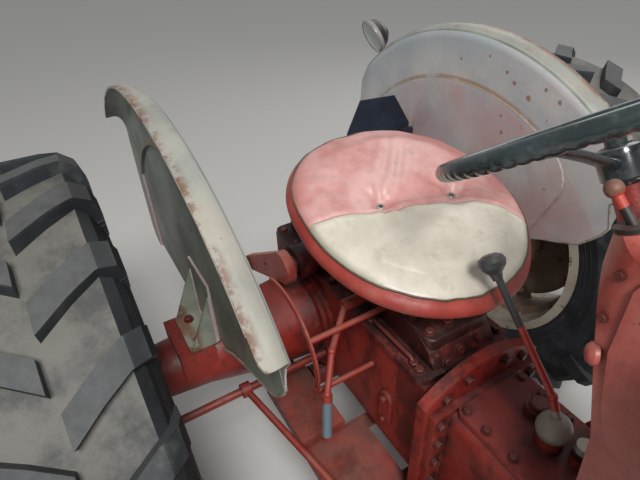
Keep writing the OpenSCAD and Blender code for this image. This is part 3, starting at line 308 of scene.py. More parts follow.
# THE SMALL CONTROLS are red forgings with moulded ends: a dark pear-shaped knob on the gear lever
# over a pale dust dome, a brown ball on the throttle, an off-white starter cap, a blue-grey grip.
LEVER_FOOT, LEVER_KNOB, KNOB_SHARE = np.array((725, 0, 814)), np.array((537, -23, 1096)), 0.74
# each table of ends has a line's start and end in the axle frame, its reach in mm and its colour
LEVER_ENDS = ((LEVER_FOOT + KNOB_SHARE * (LEVER_KNOB - LEVER_FOOT), LEVER_KNOB, 34, "#3b3d3d"),
              ((725, 0, 822), (725, 0, 838), 38, "#8f887d"), ((725, 0, 810), (725, 0, 811), 30, "#2c1a18"))
THROTTLE_ENDS = (((724, -106, 1377), (716, -106, 1384), 16, "#6f4a3c"),
                 ((766, -106, 1339), (766, -106, 1342), 25, "#1b1919"))
STARTER_ENDS = (((778, 20, 806), (778, 20, 808), 20, "#1d1a1a"),
                ((778, 20, 822), (778, 20, 836), 19, "#bdb7a9"))
GRIP_ENDS = (((384, -288, 705), (402, -302, 610), 18, "#65717a"),)
lever = enamel("red_enamel_and_black_plastic_on_lever", "#a02c22", "#ab3b2f", dust=0.10, grease_and_shade=0.3,
               gloss=0.30, stains=0.0, parts=LEVER_ENDS)
throttle = enamel("brown_knob_on_red_lever", "#a02c22", "#ab3b2f", grease_and_shade=0.3, parts=THROTTLE_ENDS)
starter = enamel("worn_white_cap_on_red_switch", "#8e2118", "#9c3427", grease_and_shade=0.5, parts=STARTER_ENDS)
control = enamel("red_enamel_with_rubber_grip", "#8a281f", "#9a3d30", grease_and_shade=0.5, rust=0.6, parts=GRIP_ENDS)
paint_nodes(lever, "gear_lever")
paint_nodes(throttle, "throttle_lever")
paint_nodes(starter, "starter_button")
paint_nodes(control, "quadrant")

# THE HOOD, GRILLE AND FENDERS are pressed sheet in pale grey enamel. The fenders have bleached nearly
# white, with a pink bloom in the raised panel, a rusted line round it, rust along the crown's free
# edge, and a grey green, darkened as painted shade, on the faces turned to the tyre under the crown.
PANEL_R, FENDER_R, PLATE_Y, CROWN_EDGE_Y = 0.582, 0.725, 0.4305, 0.480
# x and z from the rear axle and the size of each rust spot, in mm
RUST_SPOTS = ((124, 642, 7), (152, 621, 8), (202, 596, 10), (246, 629, 7), (290, 611, 8), (136, 531, 6),
              (147, 488, 7), (60, 668, 5), (330, 560, 6), (205, 470, 4), (382, 520, 6), (-40, 640, 6),
              (268, 560, 4))
SIDES = (("left", 1), ("right", -1))


def fender_coat(side):
    """Recolours fender enamel by place: r is the distance from the axle, a the angle from forward."""
    def under(tree, at, colour):
        parts, flat, r = around_axle(at, (AXLE_X, 0, AXLE_Z))
        a = maths("ARCTAN2", parts["Z"], parts["X"])
        cloud = noise(at, 0.16, 6.0, 0.6, 41.0)
        middle = times(ramp(r, PANEL_R + 0.004, PANEL_R - 0.02), ramp(cloud, 0.30, 0.62))
        colour = tint(colour, middle, 0.75, "#bd9896")
        bloom = times(ramp(r, PANEL_R + 0.02, FENDER_R - 0.02), ramp(a, 0.95, 1.7))
        colour = tint(colour, bloom, 0.6, "#98a3a8")
        across = maths("ABSOLUTE", parts["Y"])
        away = most(ramp(facing(tree, (0, side, 0)), 0.15, 0.5),
                    ramp(across, PLATE_Y, PLATE_Y + 0.001))
        # painted shade: the faces turned outboard to the tyre, under the crown, are painted a dark grey green
        inside = times(away, ramp(r, FENDER_R - 0.008, FENDER_R - 0.012))
        crown = ramp(r, FENDER_R - 0.012, FENDER_R - 0.006)
        colour = tint(colour, crown, 0.75,
                      blend_colour(ramp(cloud, 0.35, 0.62), "#7d8277", "#9a9787"))
        colour = tint(colour, inside, 0.9,
                      blend_colour(ramp(cloud, 0.35, 0.6), "#5c675c", "#858e7d"))
        line = ramp(maths("ABSOLUTE", maths("SUBTRACT", r, PANEL_R + 0.004)), 0.008, 0.002)
        line = times(line, blotches(at, 0.30, 0.55, 0.05, 5.0, 0.7, 43.0))
        colour = tint(colour, times(line, ramp(a, 0.80, 1.3)), 0.7, "#a07a50")
        free = times(ramp(across, CROWN_EDGE_Y - 0.022, CROWN_EDGE_Y - 0.002),
                     blotches(at, 0.40, 0.52, 0.05, 7.0, 0.75, 47.0))
        colour = tint(colour, free, 0.9, "#6e4a34")
        worn = times(ramp(r, FENDER_R - 0.03, FENDER_R - 0.002),
                     blotches(at, 0.52, 0.66, 0.05, 9.0, 0.8, 53.0))
        colour = tint(colour, times(worn, ramp(a, 0.9, 1.6)), 0.6, "#8a6650")
        for x, z, size in RUST_SPOTS:
            jagged = times(noise(at, 0.012, 4.0, 0.8, x * 0.01), 1.4 * size / 1000)
            off = vector("LENGTH", vector("SUBTRACT", flat, (x / 1000, 0, z / 1000)), out="Value")
            spot = ramp(maths("SUBTRACT", off, jagged), 0.001, -0.001)
            colour = tint(colour, spot, 0.8, "#8a5a3c")
        return colour
    return under


grey_sheet = enamel("pale_grey_enamel_on_pressed_steel", "#a4a6a4", "#bcbab5", dust=0.25, grease_and_shade=0.20,
                    rust=0.30, grain=0.03, bump=0.06, gloss=0.36)
paint_nodes(grey_sheet, "hood", "hood_door", "grille")
for side_name, side in SIDES:
    fender_sheet = enamel(f"bleached_grey_enamel_{side_name}", "#a9abad", "#c2bfba", dust=0.20, grease_and_shade=0.30,
                          rust=0.30, grain=0.03, bump=0.06, gloss=0.42, under=fender_coat(side))
    paint_nodes(fender_sheet, f"fender_{side_name}")
fender_rust = enamel("rusted_rolled_edge", "#8d897f", "#a39d92", dust=0.1, grease_and_shade=0.3, rust=1.3, edge=0.001,
                     bump=0.3)

# DARK METAL: the radiator, fan, lamp shells, generator and air cleaner wear a thin black enamel, the
# hitch is bare forged steel gone brown, the exhaust is scaled pipe, the rear sign a ribbed plate.
black_sheet = enamel("black_enamel_on_steel", "#17181a", "#2b2c2e", dust=0.30, grease_and_shade=0.3, rust=0.30,
                     bump=0.08, gloss=0.30)
bare_forging = enamel("bare_forged_steel", "#4b4641", "#5f564d", dust=0.35, rust=0.95, bump=0.4, gloss=0.5)
scaled_pipe = enamel("scaled_exhaust_pipe", "#54362a", "#6b4a39", dust=0.30, grease_and_shade=0.2, rust=1.0, bump=0.6,
                     gloss=0.75)
navy_plate = enamel("navy_enamel_on_ribbed_plate", "#161e2a", "#222d3d", dust=0.10, grease_and_shade=0.1, rust=0.10,
                    bump=0.05)
paint_nodes(black_sheet, "radiator", "headlamps", "work_lamp", "generator", "intake", "fan")
paint_nodes(bare_forging, "lower_link_left", "lower_link_right", "lift_rod_left", "lift_rod_right", "drawbar")
paint_nodes(scaled_pipe, "exhaust")
paint_nodes(navy_plate, "sign_plate")

# THE TYRES are moulded from black rubber, cross-ply carcasses with bar lugs behind and three ribs in
# front. Sun has greyed them, the lug tops are scuffed pale, dust lies in the grooves, and moulded
# rings run round the walls. Each row has the end, the lugs' height and the rings' radii, in metres.
TYRES = (("rear", 0.030, (0.405, 0.425, 0.520, 0.532)), ("front", 0.012, (0.232, 0.242, 0.290, 0.298)))
RUBBER_HEX, GREYED_HEX, SCUFFED_HEX, TYRE_DUST_HEX = "#22262a", "#373b3f", "#4d5154", "#7b786f"


def tyre_rubber(name, centre, radius, lug, rings):
    """Old tyre rubber round an axle along Y: scuffed near the tread's radius, with raised rings."""
    made, tree, shader = new_material(name, {"Specular IOR Level": 0.35})
    at = position(tree)
    _, flat, far = around_axle(at, centre)
    colour = blend_colour(blotches(at, 0.35, 0.7, 0.20, 6.0, 0.6), RUBBER_HEX, GREYED_HEX)
    scuff = times(ramp(far, radius - 0.4 * lug, radius - 0.1 * lug),
                  blotches(at, 0.25, 0.75, 0.03, 6.0, 0.7, 5.0))
    colour = tint(colour, scuff, 0.8, SCUFFED_HEX)
    outward = facing(tree, vector("NORMALIZE", flat))
    between = times(ramp(far, radius - 1.6 * lug, radius - 1.2 * lug),
                    ramp(far, radius - 0.8 * lug, radius - 0.95 * lug))
    between = times(times(between, ramp(outward, 0.75, 0.95)),
                    blotches(at, 0.30, 0.60, 0.10, 7.0, 0.7, 17.0))
    colour = tint(colour, between, 0.65, TYRE_DUST_HEX)
    settled = most(times(blotches(at, 0.48, 0.76, 0.06, 7.0, 0.7, 9.0), 0.30),
                   times(ramp(facing(tree, (0, 0, 1)), 0.4, 0.95), 0.22))
    colour = blend_colour(settled, colour, TYRE_DUST_HEX)
    crazing = add("TexVoronoi", {"Vector": at, "Scale": 260.0}, feature="DISTANCE_TO_EDGE").outputs[0]
    height = maths("ADD", noise(at, 0.004, 4.0, 0.7, 13.0), ramp(crazing, 0.0, 0.08))
    raised = 0.0
    for ring in rings:
        off = maths("ABSOLUTE", maths("SUBTRACT", far, ring))
        raised = most(raised, ramp(off, 0.0035, 0.0015))
    feed(shader, {"Base Color": colour,
                        "Roughness": maths("ADD", times(settled, 0.4), 0.60, True),
                        "Normal": bumped(raised, 0.9, 0.003, Normal=bumped(height, 0.30, 0.0008))})
    return made


for side_name, _ in SIDES:
    for end, lug_height, rings in TYRES:
        low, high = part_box(f"{end}_tyre_{side_name}")
        centre, radius = tuple((low + high) / 2), (high.z - low.z) / 2
        rubber = tyre_rubber(f"weathered_rubber_{end}_{side_name}", centre, radius, lug_height, rings)
        paint_nodes(rubber, f"{end}_tyre_{side_name}")

# THE WHEEL RIMS are rolled steel under a cream enamel, brown with old rust in the well and on the
# disc. Each row has the end, the axle's x and z and the well's radius, in metres.
RIMS = (("rear", AXLE_X, AXLE_Z, 0.345), ("front", 1.147, 0.350, 0.196))


def rim_coat(centre, well):
    """Cream on the flange and seat, brown inside the well's radius."""
    def under(tree, at, colour):
        far = around_axle(at, centre)[2]
        ragged = times(maths("SUBTRACT", noise(at, 0.05, 6.0, 0.7, 59.0), 0.5), 0.03)
        outside = ramp(maths("ADD", far, ragged), well + 0.004, well - 0.004)
        brown = blend_colour(noise(at, 0.09, 5.0, 0.6, 61.0), "#5c4436", "#8a7762")
        return blend_colour(outside, colour, brown)
    return under


for side_name, _ in SIDES:
    for end, x, z, well in RIMS:
        rim_enamel = enamel(f"rusted_cream_enamel_{end}_{side_name}", "#a39b8b", "#bcb4a5", dust=0.30,
                            grease_and_shade=0.4, rust=0.9, grain=0.012, bump=0.20, gloss=0.50,
                            under=rim_coat((x, 0, z), well))
        paint_nodes(rim_enamel, f"{end}_rim_{side_name}")

# THE STEERING WHEEL is hard rubber moulded over a steel ring and three bent rods. The rim's
# underside has finger grips, and its top has been polished nearly black by hands.
WHEEL_LEAN_DEG, WHEEL_R, WHEEL_TUBE_R, GRIPS, GRIP_DEEP = 34.5, 0.215, 0.013, 76, 0.0015
SPOKES, SPOKE_START_DEG, SPOKE_R, SPOKE_FLARE = 3, 287.0, 0.0058, 0.003
# how far out the spokes start, how far short of the rim they end, and how they rise, in metres
SPOKE_IN, SPOKE_SHORT, SPOKE_LOW, SPOKE_RISE, SPOKE_BOW = 0.024, 0.003, -0.056, 0.052, 0.004
# radius and height of the column, hub and nut below the rim's middle, in mm
HUB_PROFILE = ((0, -170), (10.5, -170), (10.5, -80), (26, -80), (29.5, -77), (29.5, -46), (27, -38),
               (21, -35), (19, -35), (19, -34), (13.8, -34), (13.8, -26), (11, -23.5), (0, -23.5))
COLUMN_TOP = axle_frame((643, 0, 1400))


def quads(rows, steps, closed=False):
    """Faces between neighbouring rings of steps points, and from the last ring to the first if closed."""
    i, j = np.meshgrid(np.arange(rows if closed else rows - 1), np.arange(steps), indexing="ij")
    i2, j2 = (i + 1) % rows, (j + 1) % steps
    faces = np.stack([i * steps + j, i * steps + j2, i2 * steps + j2, i2 * steps + j], -1)
    return faces.reshape(-1, 4).tolist()


def tube(path, radius, turns=12, closed=False, across=(0.0, 0.0, 1.0)):
    """A round skin about a path: at each point a circle in the plane of the two directions square to
    the path, p + r (n cos a + b sin a). The radius may vary by path point and by angle. Closed paths
    join their ends and open ones get end caps. As points and faces."""
    path = np.asarray(path, float)
    n = len(path)
    ahead = np.roll(path, -1, 0) - np.roll(path, 1, 0)
    if not closed:
        ahead[0], ahead[-1] = path[1] - path[0], path[-1] - path[-2]
    ahead /= np.linalg.norm(ahead, axis=1)[:, None]
    side = np.cross(np.broadcast_to(np.asarray(across, float), ahead.shape), ahead)
    side /= np.linalg.norm(side, axis=1)[:, None]
    other = np.cross(ahead, side)
    a = np.linspace(0, 2 * np.pi, turns, endpoint=False)
    if np.ndim(radius) < 2:
        radius = np.asarray(radius, float).reshape(-1, 1)
    ring = np.cos(a)[None, :, None] * side[:, None] + np.sin(a)[None, :, None] * other[:, None]
    points = path[:, None] + np.broadcast_to(radius, (n, turns))[..., None] * ring
    caps = [] if closed else [list(range(turns))[::-1], [(n - 1) * turns + k for k in range(turns)]]
    return points.reshape(-1, 3), quads(n, turns, closed) + caps


def turned(profile, steps=48, origin=(0, 0, 0), axis=(0, 0, 1)):
    """A profile of radius and height in mm turned about an axis through origin, in metres:
    p = o + h k + r (u cos t + v sin t), with k along the axis and u and v square to it."""
    profile, k = np.asarray(profile, float) / 1000, np.asarray(axis, float) / np.linalg.norm(axis)
    u = np.cross(k, (0.0, 1.0, 0.0) if abs(k[1]) < 0.9 else (1.0, 0.0, 0.0))
    u /= np.linalg.norm(u)
    v = np.cross(k, u)
    t = np.linspace(0, 2 * np.pi, steps, endpoint=False)
    ring = np.cos(t)[:, None] * u + np.sin(t)[:, None] * v
    points = np.asarray(origin, float) + profile[:, None, 1:2] * k + profile[:, None, 0:1] * ring[None]
    return points.reshape(-1, 3), quads(len(profile), steps)


def joined(pieces):
    """Several (points, faces) as one."""
    points, faces, start = [], [], 0
    for p, f in pieces:
        points.append(p)
        faces += [[start + k for k in face] for face in f]
        start += len(p)
    return np.concatenate(points), faces


def tidy(piece, smooth_angle=0.6):
    """Merges doubles, turns every face outwards and shades flats apart from rounds."""
    form = bmesh.new()
    form.from_mesh(piece.data)
    bmesh.ops.remove_doubles(form, verts=form.verts, dist=1e-6)
    bmesh.ops.recalc_face_normals(form, faces=form.faces)
    for edge in form.edges:
        edge.smooth = len(edge.link_faces) != 2 or edge.calc_face_angle(0.0) < smooth_angle
    form.to_mesh(piece.data)
    form.free()


def fitted(name, pieces, material, body="tractor"):
    """One dressed piece from several shapes, with its material, riding on a body."""
    made = mesh_object(name, *joined(pieces))
    tidy(made)
    made.data.materials.append(material)
    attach(made, body)
    return made


lean = np.radians(WHEEL_LEAN_DEG)
wheel_up = np.array([-np.sin(lean), 0, np.cos(lean)])
wheel_ahead = np.array([np.cos(lean), 0, np.sin(lean)])
wheel_left = np.array([0.0, 1.0, 0.0])
t = np.linspace(0, 2 * np.pi, GRIPS * 6, endpoint=False)
rim_path = COLUMN_TOP + WHEEL_R * (np.cos(t)[:, None] * wheel_ahead + np.sin(t)[:, None] * wheel_left)
underside = np.clip(np.sin(np.linspace(0, 2 * np.pi, 24, endpoint=False)) + 0.15, 0, 1)[None, :] ** 0.6
rim_radius = WHEEL_TUBE_R - GRIP_DEEP * underside * (0.5 + 0.5 * np.cos(GRIPS * t))[:, None] ** 2
pieces = [tube(rim_path, rim_radius, 24, True, -wheel_up)]
for k in range(SPOKES):
    turn_to = np.radians(SPOKE_START_DEG + 360 * k / SPOKES)
    out = np.cos(turn_to) * wheel_ahead + np.sin(turn_to) * wheel_left
    s = np.linspace(0, 1, 24)
    rise = SPOKE_LOW + SPOKE_RISE * s + SPOKE_BOW * np.sin(np.pi * s)
    reach = SPOKE_IN + (WHEEL_R - SPOKE_SHORT - SPOKE_IN) * s
    thick = SPOKE_R + SPOKE_FLARE * (np.maximum(0, 1 - 5 * s) + np.maximum(0, 6 * s - 5))
    spoke = COLUMN_TOP + reach[:, None] * out + rise[:, None] * wheel_up
    pieces.append(tube(spoke, thick, 12, False, np.cross(out, wheel_up)))
pieces.append(turned(HUB_PROFILE, 40, COLUMN_TOP, wheel_up))
hard_rubber, tree, shader = new_material("polished_hard_rubber", {"Coat Weight": 0.35, "Coat Roughness": 0.2})
at = position(tree)
worn = blotches(at, 0.40, 0.70, 0.05, 5.0, 0.6)
dusted = blotches(at, 0.50, 0.70, 0.02, 6.0, 0.7, 5.0)
feed(shader, {
    "Base Color": tint(blend_colour(worn, "#1e2829", "#333e42"), dusted, 0.25, "#6d6a63"),
    "Roughness": maths("ADD", times(worn, 0.22), 0.18),
    "Normal": bumped(noise(at, 0.003, 3.0, 0.6, 2.0), 0.15, 0.0005)})
steering_wheel = fitted("steering_wheel_grip", pieces, hard_rubber, "steering_wheel")
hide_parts("steering_wheel")

# THE BOLTS are forged hexagons on pressed washers, painted with the castings and chipped by spanners.
# Each row is place and direction in the axle frame, width across flats and height, in mm.
UP, FORWARD = (0, 0, 1), (1, 0, 0)
AXLE_MM, JOINT_Z, PLATE_TOP, RING_X, RING_R = 1000 * AXLE_Z, 809, 878, 560, 218
WHEEL_Y, HUB_BOLT_R, CLAMP_R, FRONT_X, FRONT_Y, FRONT_Z, FRONT_BOLT_R = 745, 88, 293, 1892, 665, 350, 68
# the lift cover's sloping front: a point on it, its fall and the direction that it faces
NOSE_X, NOSE_Z, NOSE_FALL, NOSE_FACING = 488, 829, 1.63, (0.853, 0, 0.521)


def polar(degrees, radius):
    """A point on a circle, as radius times cosine and sine."""
    return radius * np.cos(np.radians(degrees)), radius * np.sin(np.radians(degrees))


def bolt(place, axis, flats, high):
    """A chamfered hexagon on a washer: the hexagon's corner radius is flats / sqrt 3."""
    at, r, h = axle_frame(place), flats / 3 ** 0.5, high
    head = turned([(0, 0), (r, 0), (r, 0.86 * h), (0.84 * r, h), (0, h)], 6, at, axis)
    washer = turned([(0, 0), (1.18 * r, 0), (1.25 * r, 0.6), (1.25 * r, 2.0), (0, 2.2)], 24, at, axis)
    return [head, washer]


def bolts(rows):
    """The shapes of several bolts."""
    return [shape for row in rows for shape in bolt(*row)]


body_bolts = [
    *(((x, y, JOINT_Z), UP, 19, 12) for x in (-150, -70, 130, 205, 280, 480) for y in (-113, 113)),
    *(((x, 118, JOINT_Z), UP, 19, 12) for x in (350, 420)),
    *(((x, y, NOSE_Z - NOSE_FALL * (x - NOSE_X)), NOSE_FACING, 17, 11)
      for x, y in ((496, -52), (489, -12), (487, 44))),
    *(((x, s * 70, PLATE_TOP), UP, 17, 10) for x in (398, 452) for s in (-1, 1)),
    ((400, 0, PLATE_TOP), UP, 15, 9), ((449, -18, PLATE_TOP), UP, 24, 12), ((668, 40, 796), UP, 36, 15),
    *(((RING_X, y, AXLE_MM + z), FORWARD, 17, 11) for y, z in (polar(a, RING_R) for a in (60, 76, 104, 120))),
    *(((576, s * 131, z), FORWARD, 19, 12) for z in (470, 545, 620, 690, 752) for s in (-1, 1)),
    *(((x, s * 80, 780), UP, 15, 9) for x in (594, 646, 712, 778) for s in (-1, 1)),
    *(((783, s * 138, z), (0, s, 0), 9, 4) for z in (1236, 1300) for s in (-1, 1)),
    *(((x, s * 418, z), (0, -s, 0), 19, 8) for x in (-42, 42) for z in (752, 840) for s in (-1, 1)),
    *(((x, s * 468, 713), UP, 19, 12) for x in (-42, 42) for s in (-1, 1))]
bolt_paint = enamel("chipped_paint_on_bolt_heads", "#561d17", "#683028", dust=0.4, grease_and_shade=0.8, rust=0.5,
                    edge=0.0012, bump=0.2, gloss=0.36, dusty="#4f322c")
fitted("casing_bolts", bolts(body_bolts), bolt_paint)
wheel_paint = enamel("rusted_wheel_bolts", "#5b4638", "#83705c", dust=0.3, rust=0.9, edge=0.0015, bump=0.2)
for side_name, s in SIDES:
    rows = []
    for k in range(8):
        u, v = polar(45 * k, HUB_BOLT_R)
        rows.append(((u, s * (WHEEL_Y - 6), AXLE_MM + v), (0, s, 0), 24, 17))
        u, v = polar(45 * k + 22.5, CLAMP_R)
        for face, way in ((34, s), (26, -s)):
            rows.append(((u, s * (WHEEL_Y + face), AXLE_MM + v), (0, way, 0), 24, 15))
    fitted(f"rear_wheel_bolts_{side_name}", bolts(rows), wheel_paint, f"rear_wheel_{side_name}")
    rows = [((FRONT_X + u, s * (FRONT_Y + 12), FRONT_Z + v), (0, s, 0), 19, 14)
            for u, v in (polar(60 * k, FRONT_BOLT_R) for k in range(6))]
    fitted(f"front_wheel_bolts_{side_name}", bolts(rows), wheel_paint,
           f"front_wheel_{side_name}")

# THE SMALL FITTINGS on the castings are the lift cover's greasy cover plate with a plug, an oil pipe
# beside it with its two unions, a bolted boss on the housing's side, the dash's pressed side panels
# with their pulls, and the rolled beads on the fenders' free edges, brown where enamel has gone.
# The places are in the axle frame, in mm.
DASH_PANEL = ((905, 1315), (822, 1315), (808, 1309), (802, 1296), (802, 1200), (822, 1112), (838, 1072),
              (850, 1058), (866, 1054), (905, 1054))
PANEL_Y, BOSS_Y, CROWN_BEAD_R, CROWN_BEAD_Y, LIP_BEAD_Y = 137.5, -126, 722, 478.5, 428
# the radii of the pipe and of the crown's and the front edge's beads, in metres
OIL_PIPE_R, CROWN_BEAD, LIP_BEAD = 0.0055, 0.0028, 0.0034
PULL_PROFILE = ((0, 0), (15, 0), (15, 6), (11, 11), (5, 13), (0, 13.2))
UNION_PROFILE = ((0, 0), (11, 0), (11, 9), (9, 11), (0, 11))
OIL_PIPE = ((304, -112, 812), (319, -112, 822), (340, -112, 822), (430, -111, 822), (446, -110, 822),
            (460, -110, 812))
# the fender's front edge below the crown, as x and z from the axle
FREE_OUTLINE = ((112, 106), (200, 170), (336, 244), (401, 270), (439, 290), (463, 317), (484, 344),
                (496, 369), (479, 426), (495, 443))
greasy_plate = enamel("oil_soaked_cover_plate", "#5a2720", "#6b3a30", dust=0.8, grease_and_shade=1.0, rust=0.7,
                      bump=0.5, dusty="#3d2823", stains=1.0)


def plate(outline, low, high, chamfer, swing=None):
    """A closed plate: the outline of x and y at low, again just below high, and drawn in by the
    chamfer at high, each point moved towards the middle. swing turns (x, y, z) rows as they go."""
    outline = np.asarray(outline, float)
    middle = outline.mean(0)
    away = outline - middle
    inner = middle + away * (1 - chamfer / np.linalg.norm(away, axis=1))[:, None]
    n = len(outline)
    rings = ((outline, low), (outline, high - chamfer), (inner, high))
    points = np.concatenate([np.column_stack([ring, np.full(n, z)]) for ring, z in rings])
    faces = quads(3, n) + [list(range(n))[::-1], [2 * n + i for i in range(n)]]
    return axle_frame(points if swing is None else swing(points)), faces


def rounded(x0, y0, x1, y1, r, steps=6):
    """A rectangle's outline with corners of radius r."""
    corners = ((x1 - r, y1 - r, 0), (x0 + r, y1 - r, 90), (x0 + r, y0 + r, 180), (x1 - r, y0 + r, 270))
    return [(cx + u, cy + v) for cx, cy, start in corners
            for u, v in (polar(a, r) for a in np.linspace(start, start + 90, steps))]


cover_plate = plate(rounded(372, -87, 478, 87, 20), 846, PLATE_TOP, 3)
fitted("lift_cover_plate", [cover_plate], greasy_plate)
for side_name, s in SIDES:
    skin = plate(DASH_PANEL[::s], 0, 6, 3,
                 lambda p, s=s: np.column_stack([p[:, 0], s * (PANEL_Y + p[:, 2]), p[:, 1]]))
    pull = turned(PULL_PROFILE, 32, axle_frame((792, s * 137, 1180)), (-0.7, s * 0.7, 0))
    fitted(f"dash_panel_{side_name}", [skin, pull], red_sheet)
side_boss = plate(rounded(540, 378, 660, 422, 21), 0, 9, 3,
                  lambda p: np.column_stack([p[:, 1], BOSS_Y - p[:, 2], p[:, 0]]))
boss_bolts = bolts([((400, BOSS_Y - 9, z), (0, -1, 0), flats, high)
                    for z, flats, high in ((640, 17, 11), (560, 13, 8))])
fitted("housing_boss", [side_boss, *boss_bolts], red_casting)
unions = [turned(UNION_PROFILE, 6, axle_frame((x, y, JOINT_Z)), UP)
          for x, y, _ in (OIL_PIPE[0], OIL_PIPE[-1])]
fitted("oil_pipe", [tube(axle_frame(OIL_PIPE), OIL_PIPE_R, 14), *unions], bolt_paint)
for side_name, s in SIDES:
    swing = np.radians(np.linspace(46.5, 130, 90))
    crown = np.stack([CROWN_BEAD_R * np.cos(swing), np.full(90, s * CROWN_BEAD_Y),
                      AXLE_MM + CROWN_BEAD_R * np.sin(swing)], 1)
    lip = np.array([(x, s * LIP_BEAD_Y, AXLE_MM + z) for x, z in FREE_OUTLINE])
    beads = [tube(axle_frame(path), radius, 10, across=(0, 1, 0))
             for path, radius in ((crown, CROWN_BEAD), (lip, LIP_BEAD))]
    fitted(f"fender_beads_{side_name}", beads, fender_rust)

# THE LAMP GLASSES are domed pressed glass with upright flutes over a silvered bowl, in chromed rims.
# The profiles are radius and height in mm.
WORK_LAMP, WORK_AXIS = axle_frame((-498.4, 469, 1230.5)), (-0.1261, -0.8975, -0.4226)
WORK_LENS = ((0, 27.2), (30, 25.2), (54, 21.2), (54, 16), (0, 16))
WORK_RIM = ((53.5, 20.5), (56, 22.5), (60.5, 19.5), (61.5, 10), (60, 5.5), (58, 5.5), (53.5, 20.5))
HEAD_LENS = ((0, 40.5), (30, 37), (61, 32.5), (73.5, 22.2), (73.5, 18), (0, 18))
HEAD_RIM = ((73, 20.5), (76.5, 22.5), (82.5, 18.5), (83.5, 4), (82, 0.5), (79, 0.5), (73, 20.5))
lamp_glass, tree, shader = new_material("fluted_lamp_glass", {
    "Base Color": "#8f9899", "Roughness": 0.12, "Metallic": 0.55, "Coat Weight": 1.0, "Coat Roughness": 0.05})
flutes = add("TexWave", {"Vector": position(tree), "Scale": 26.0}, bands_direction="Y")
feed(shader, {"Normal": bumped(flutes.outputs["Fac"], 0.5, 0.0015)})
chrome = enamel("dulled_chrome", "#8c8c89", "#a3a29c", dust=0.3, grease_and_shade=0.2, rust=0.5, bump=0.1, gloss=0.22)
lenses = [turned(WORK_LENS, 48, WORK_LAMP, WORK_AXIS)]
rims = [turned(WORK_RIM, 48, WORK_LAMP, WORK_AXIS)]
for s in (-1, 1):
    centre = axle_frame((1872, s * 333, 1150))
    lenses.append(turned(HEAD_LENS, 64, centre, FORWARD))
    rims.append(turned(HEAD_RIM, 64, centre, FORWARD))
fitted("lamp_glasses", lenses, lamp_glass)
fitted("lamp_rims", rims, chrome)

# THE DASH carries two round gauges with pressed bezels, white faces, black needles and a key switch.
# The profiles are radius and height in mm.
DASH_AXIS = (-0.941, 0, -0.340)
BEZEL = ((0, -2), (31, -2), (33, 3), (31, 7.5), (27.5, 8), (27, 4.5), (0, 4.5))
DIAL = ((0, 4.6), (26.8, 4.6), (26.8, 5.6), (0, 6))
KEY_SWITCH = ((0, -2), (14, -2), (14, 4), (10, 9), (0, 9))
NEEDLE_OUT, NEEDLE_L, NEEDLE_R = 0.0068, 0.019, 0.0009
gauge_face = new_material("gauge_faces", {"Base Color": "#cfcbbb", "Roughness": 0.12, "Coat Weight": 1.0})[0]
needle_way = 0.77 * np.cross(DASH_AXIS, (0, 1, 0)) + 0.64 * np.array((0, 1, 0))
bezels, dials, needles = [], [], []
for y in (-80, 80):
    centre = axle_frame((765, y, 1254))
    bezels.append(turned(BEZEL, 48, centre, DASH_AXIS))
    dials.append(turned(DIAL, 48, centre, DASH_AXIS))
    root = centre + NEEDLE_OUT * np.array(DASH_AXIS)
    needles.append(tube([root, root + NEEDLE_L * needle_way], NEEDLE_R, 8, across=DASH_AXIS))
bezels.append(turned(KEY_SWITCH, 32, axle_frame((771, 118, 1236)), DASH_AXIS))
fitted("gauge_bezels", bezels, black_sheet)
fitted("gauge_dials", dials, gauge_face)
fitted("gauge_needles", needles, black_sheet)

# THE SEAT is an oval cushion of cotton wool and foam in a sewn vinyl cover: faded red behind, a
# bleached beige panel in front, a red skirt below a dark piping. Its rolled side band is painted with
# shade, green grey on the beige and a deeper red on the red.
# Two eyelets pull the top down into folds.
SEAT_MID = axle_frame((281, 5, 1108))
SEAT_TILT_DEG, SEAT_HL, SEAT_HW, REAR_POWER = 13.4, 0.290, 0.260, 2.30
EYELETS, EYELET_R = ((-0.016, -0.072), (0.022, 0.098)), 0.009
TOP_SHARE, PIPING_LOW, VOXEL, SWELL_MAX = 0.935, -0.026, 0.006, 0.012
CLOTH_FRAMES, EVENING_ROUNDS = 20, 30
# the seam runs across at x = at + slant y + bend (y - from)^2, the last only to the left of from
SEAM_AT, SEAM_SLANT, SEAM_BEND, SEAM_FROM = 0.040, 0.30, 4.5, 0.08
# heights and depths on the top, in metres: PIT, BOWL and FOLD are round the eyelets, GROOVE and RIDGE
# along the seam
DOME, REAR_RISE, PIT, BOWL, FOLD, GROOVE, RIDGE = 0.004, 0.010, 0.012, 0.009, 0.0036, 0.0040, 0.0022
# middle, direction across the folds, spacing, spread and height
PULL_FOLDS = (((-0.095, 0.010), (0.66, 0.75), 0.034, 0.050, 0.0046),
              ((-0.02, 0.15), (0.90, -0.43), 0.030, 0.030, 0.0030),
              ((0.075, -0.020), (0.85, -0.53), 0.030, 0.032, 0.0030),
              ((-0.10, -0.14), (0.75, -0.66), 0.045, 0.050, 0.0022),
              ((0.10, -0.13), (0.95, 0.30), 0.026, 0.024, 0.0016))
# the radius in percent of the half axes, and the height in mm, from the bottom's middle to the top's
SEAT_PROFILE = np.array([(0, -92.2), (20, -92.2), (40, -91), (55, -88), (69, -84), (80, -79), (89, -75),
                         (95, -69), (98.4, -61), (99.4, -52), (98.8, -42), (97, -32), (95.2, -25),
                         (94.2, -17), (92, -11), (87, -7), (78, -6), (55, -6), (30, -6), (0, -6)])
tilt = np.radians(SEAT_TILT_DEG)
seat_axes = np.array([[np.cos(tilt), 0, -np.sin(tilt)], [0, 1, 0], [np.sin(tilt), 0, np.cos(tilt)]])


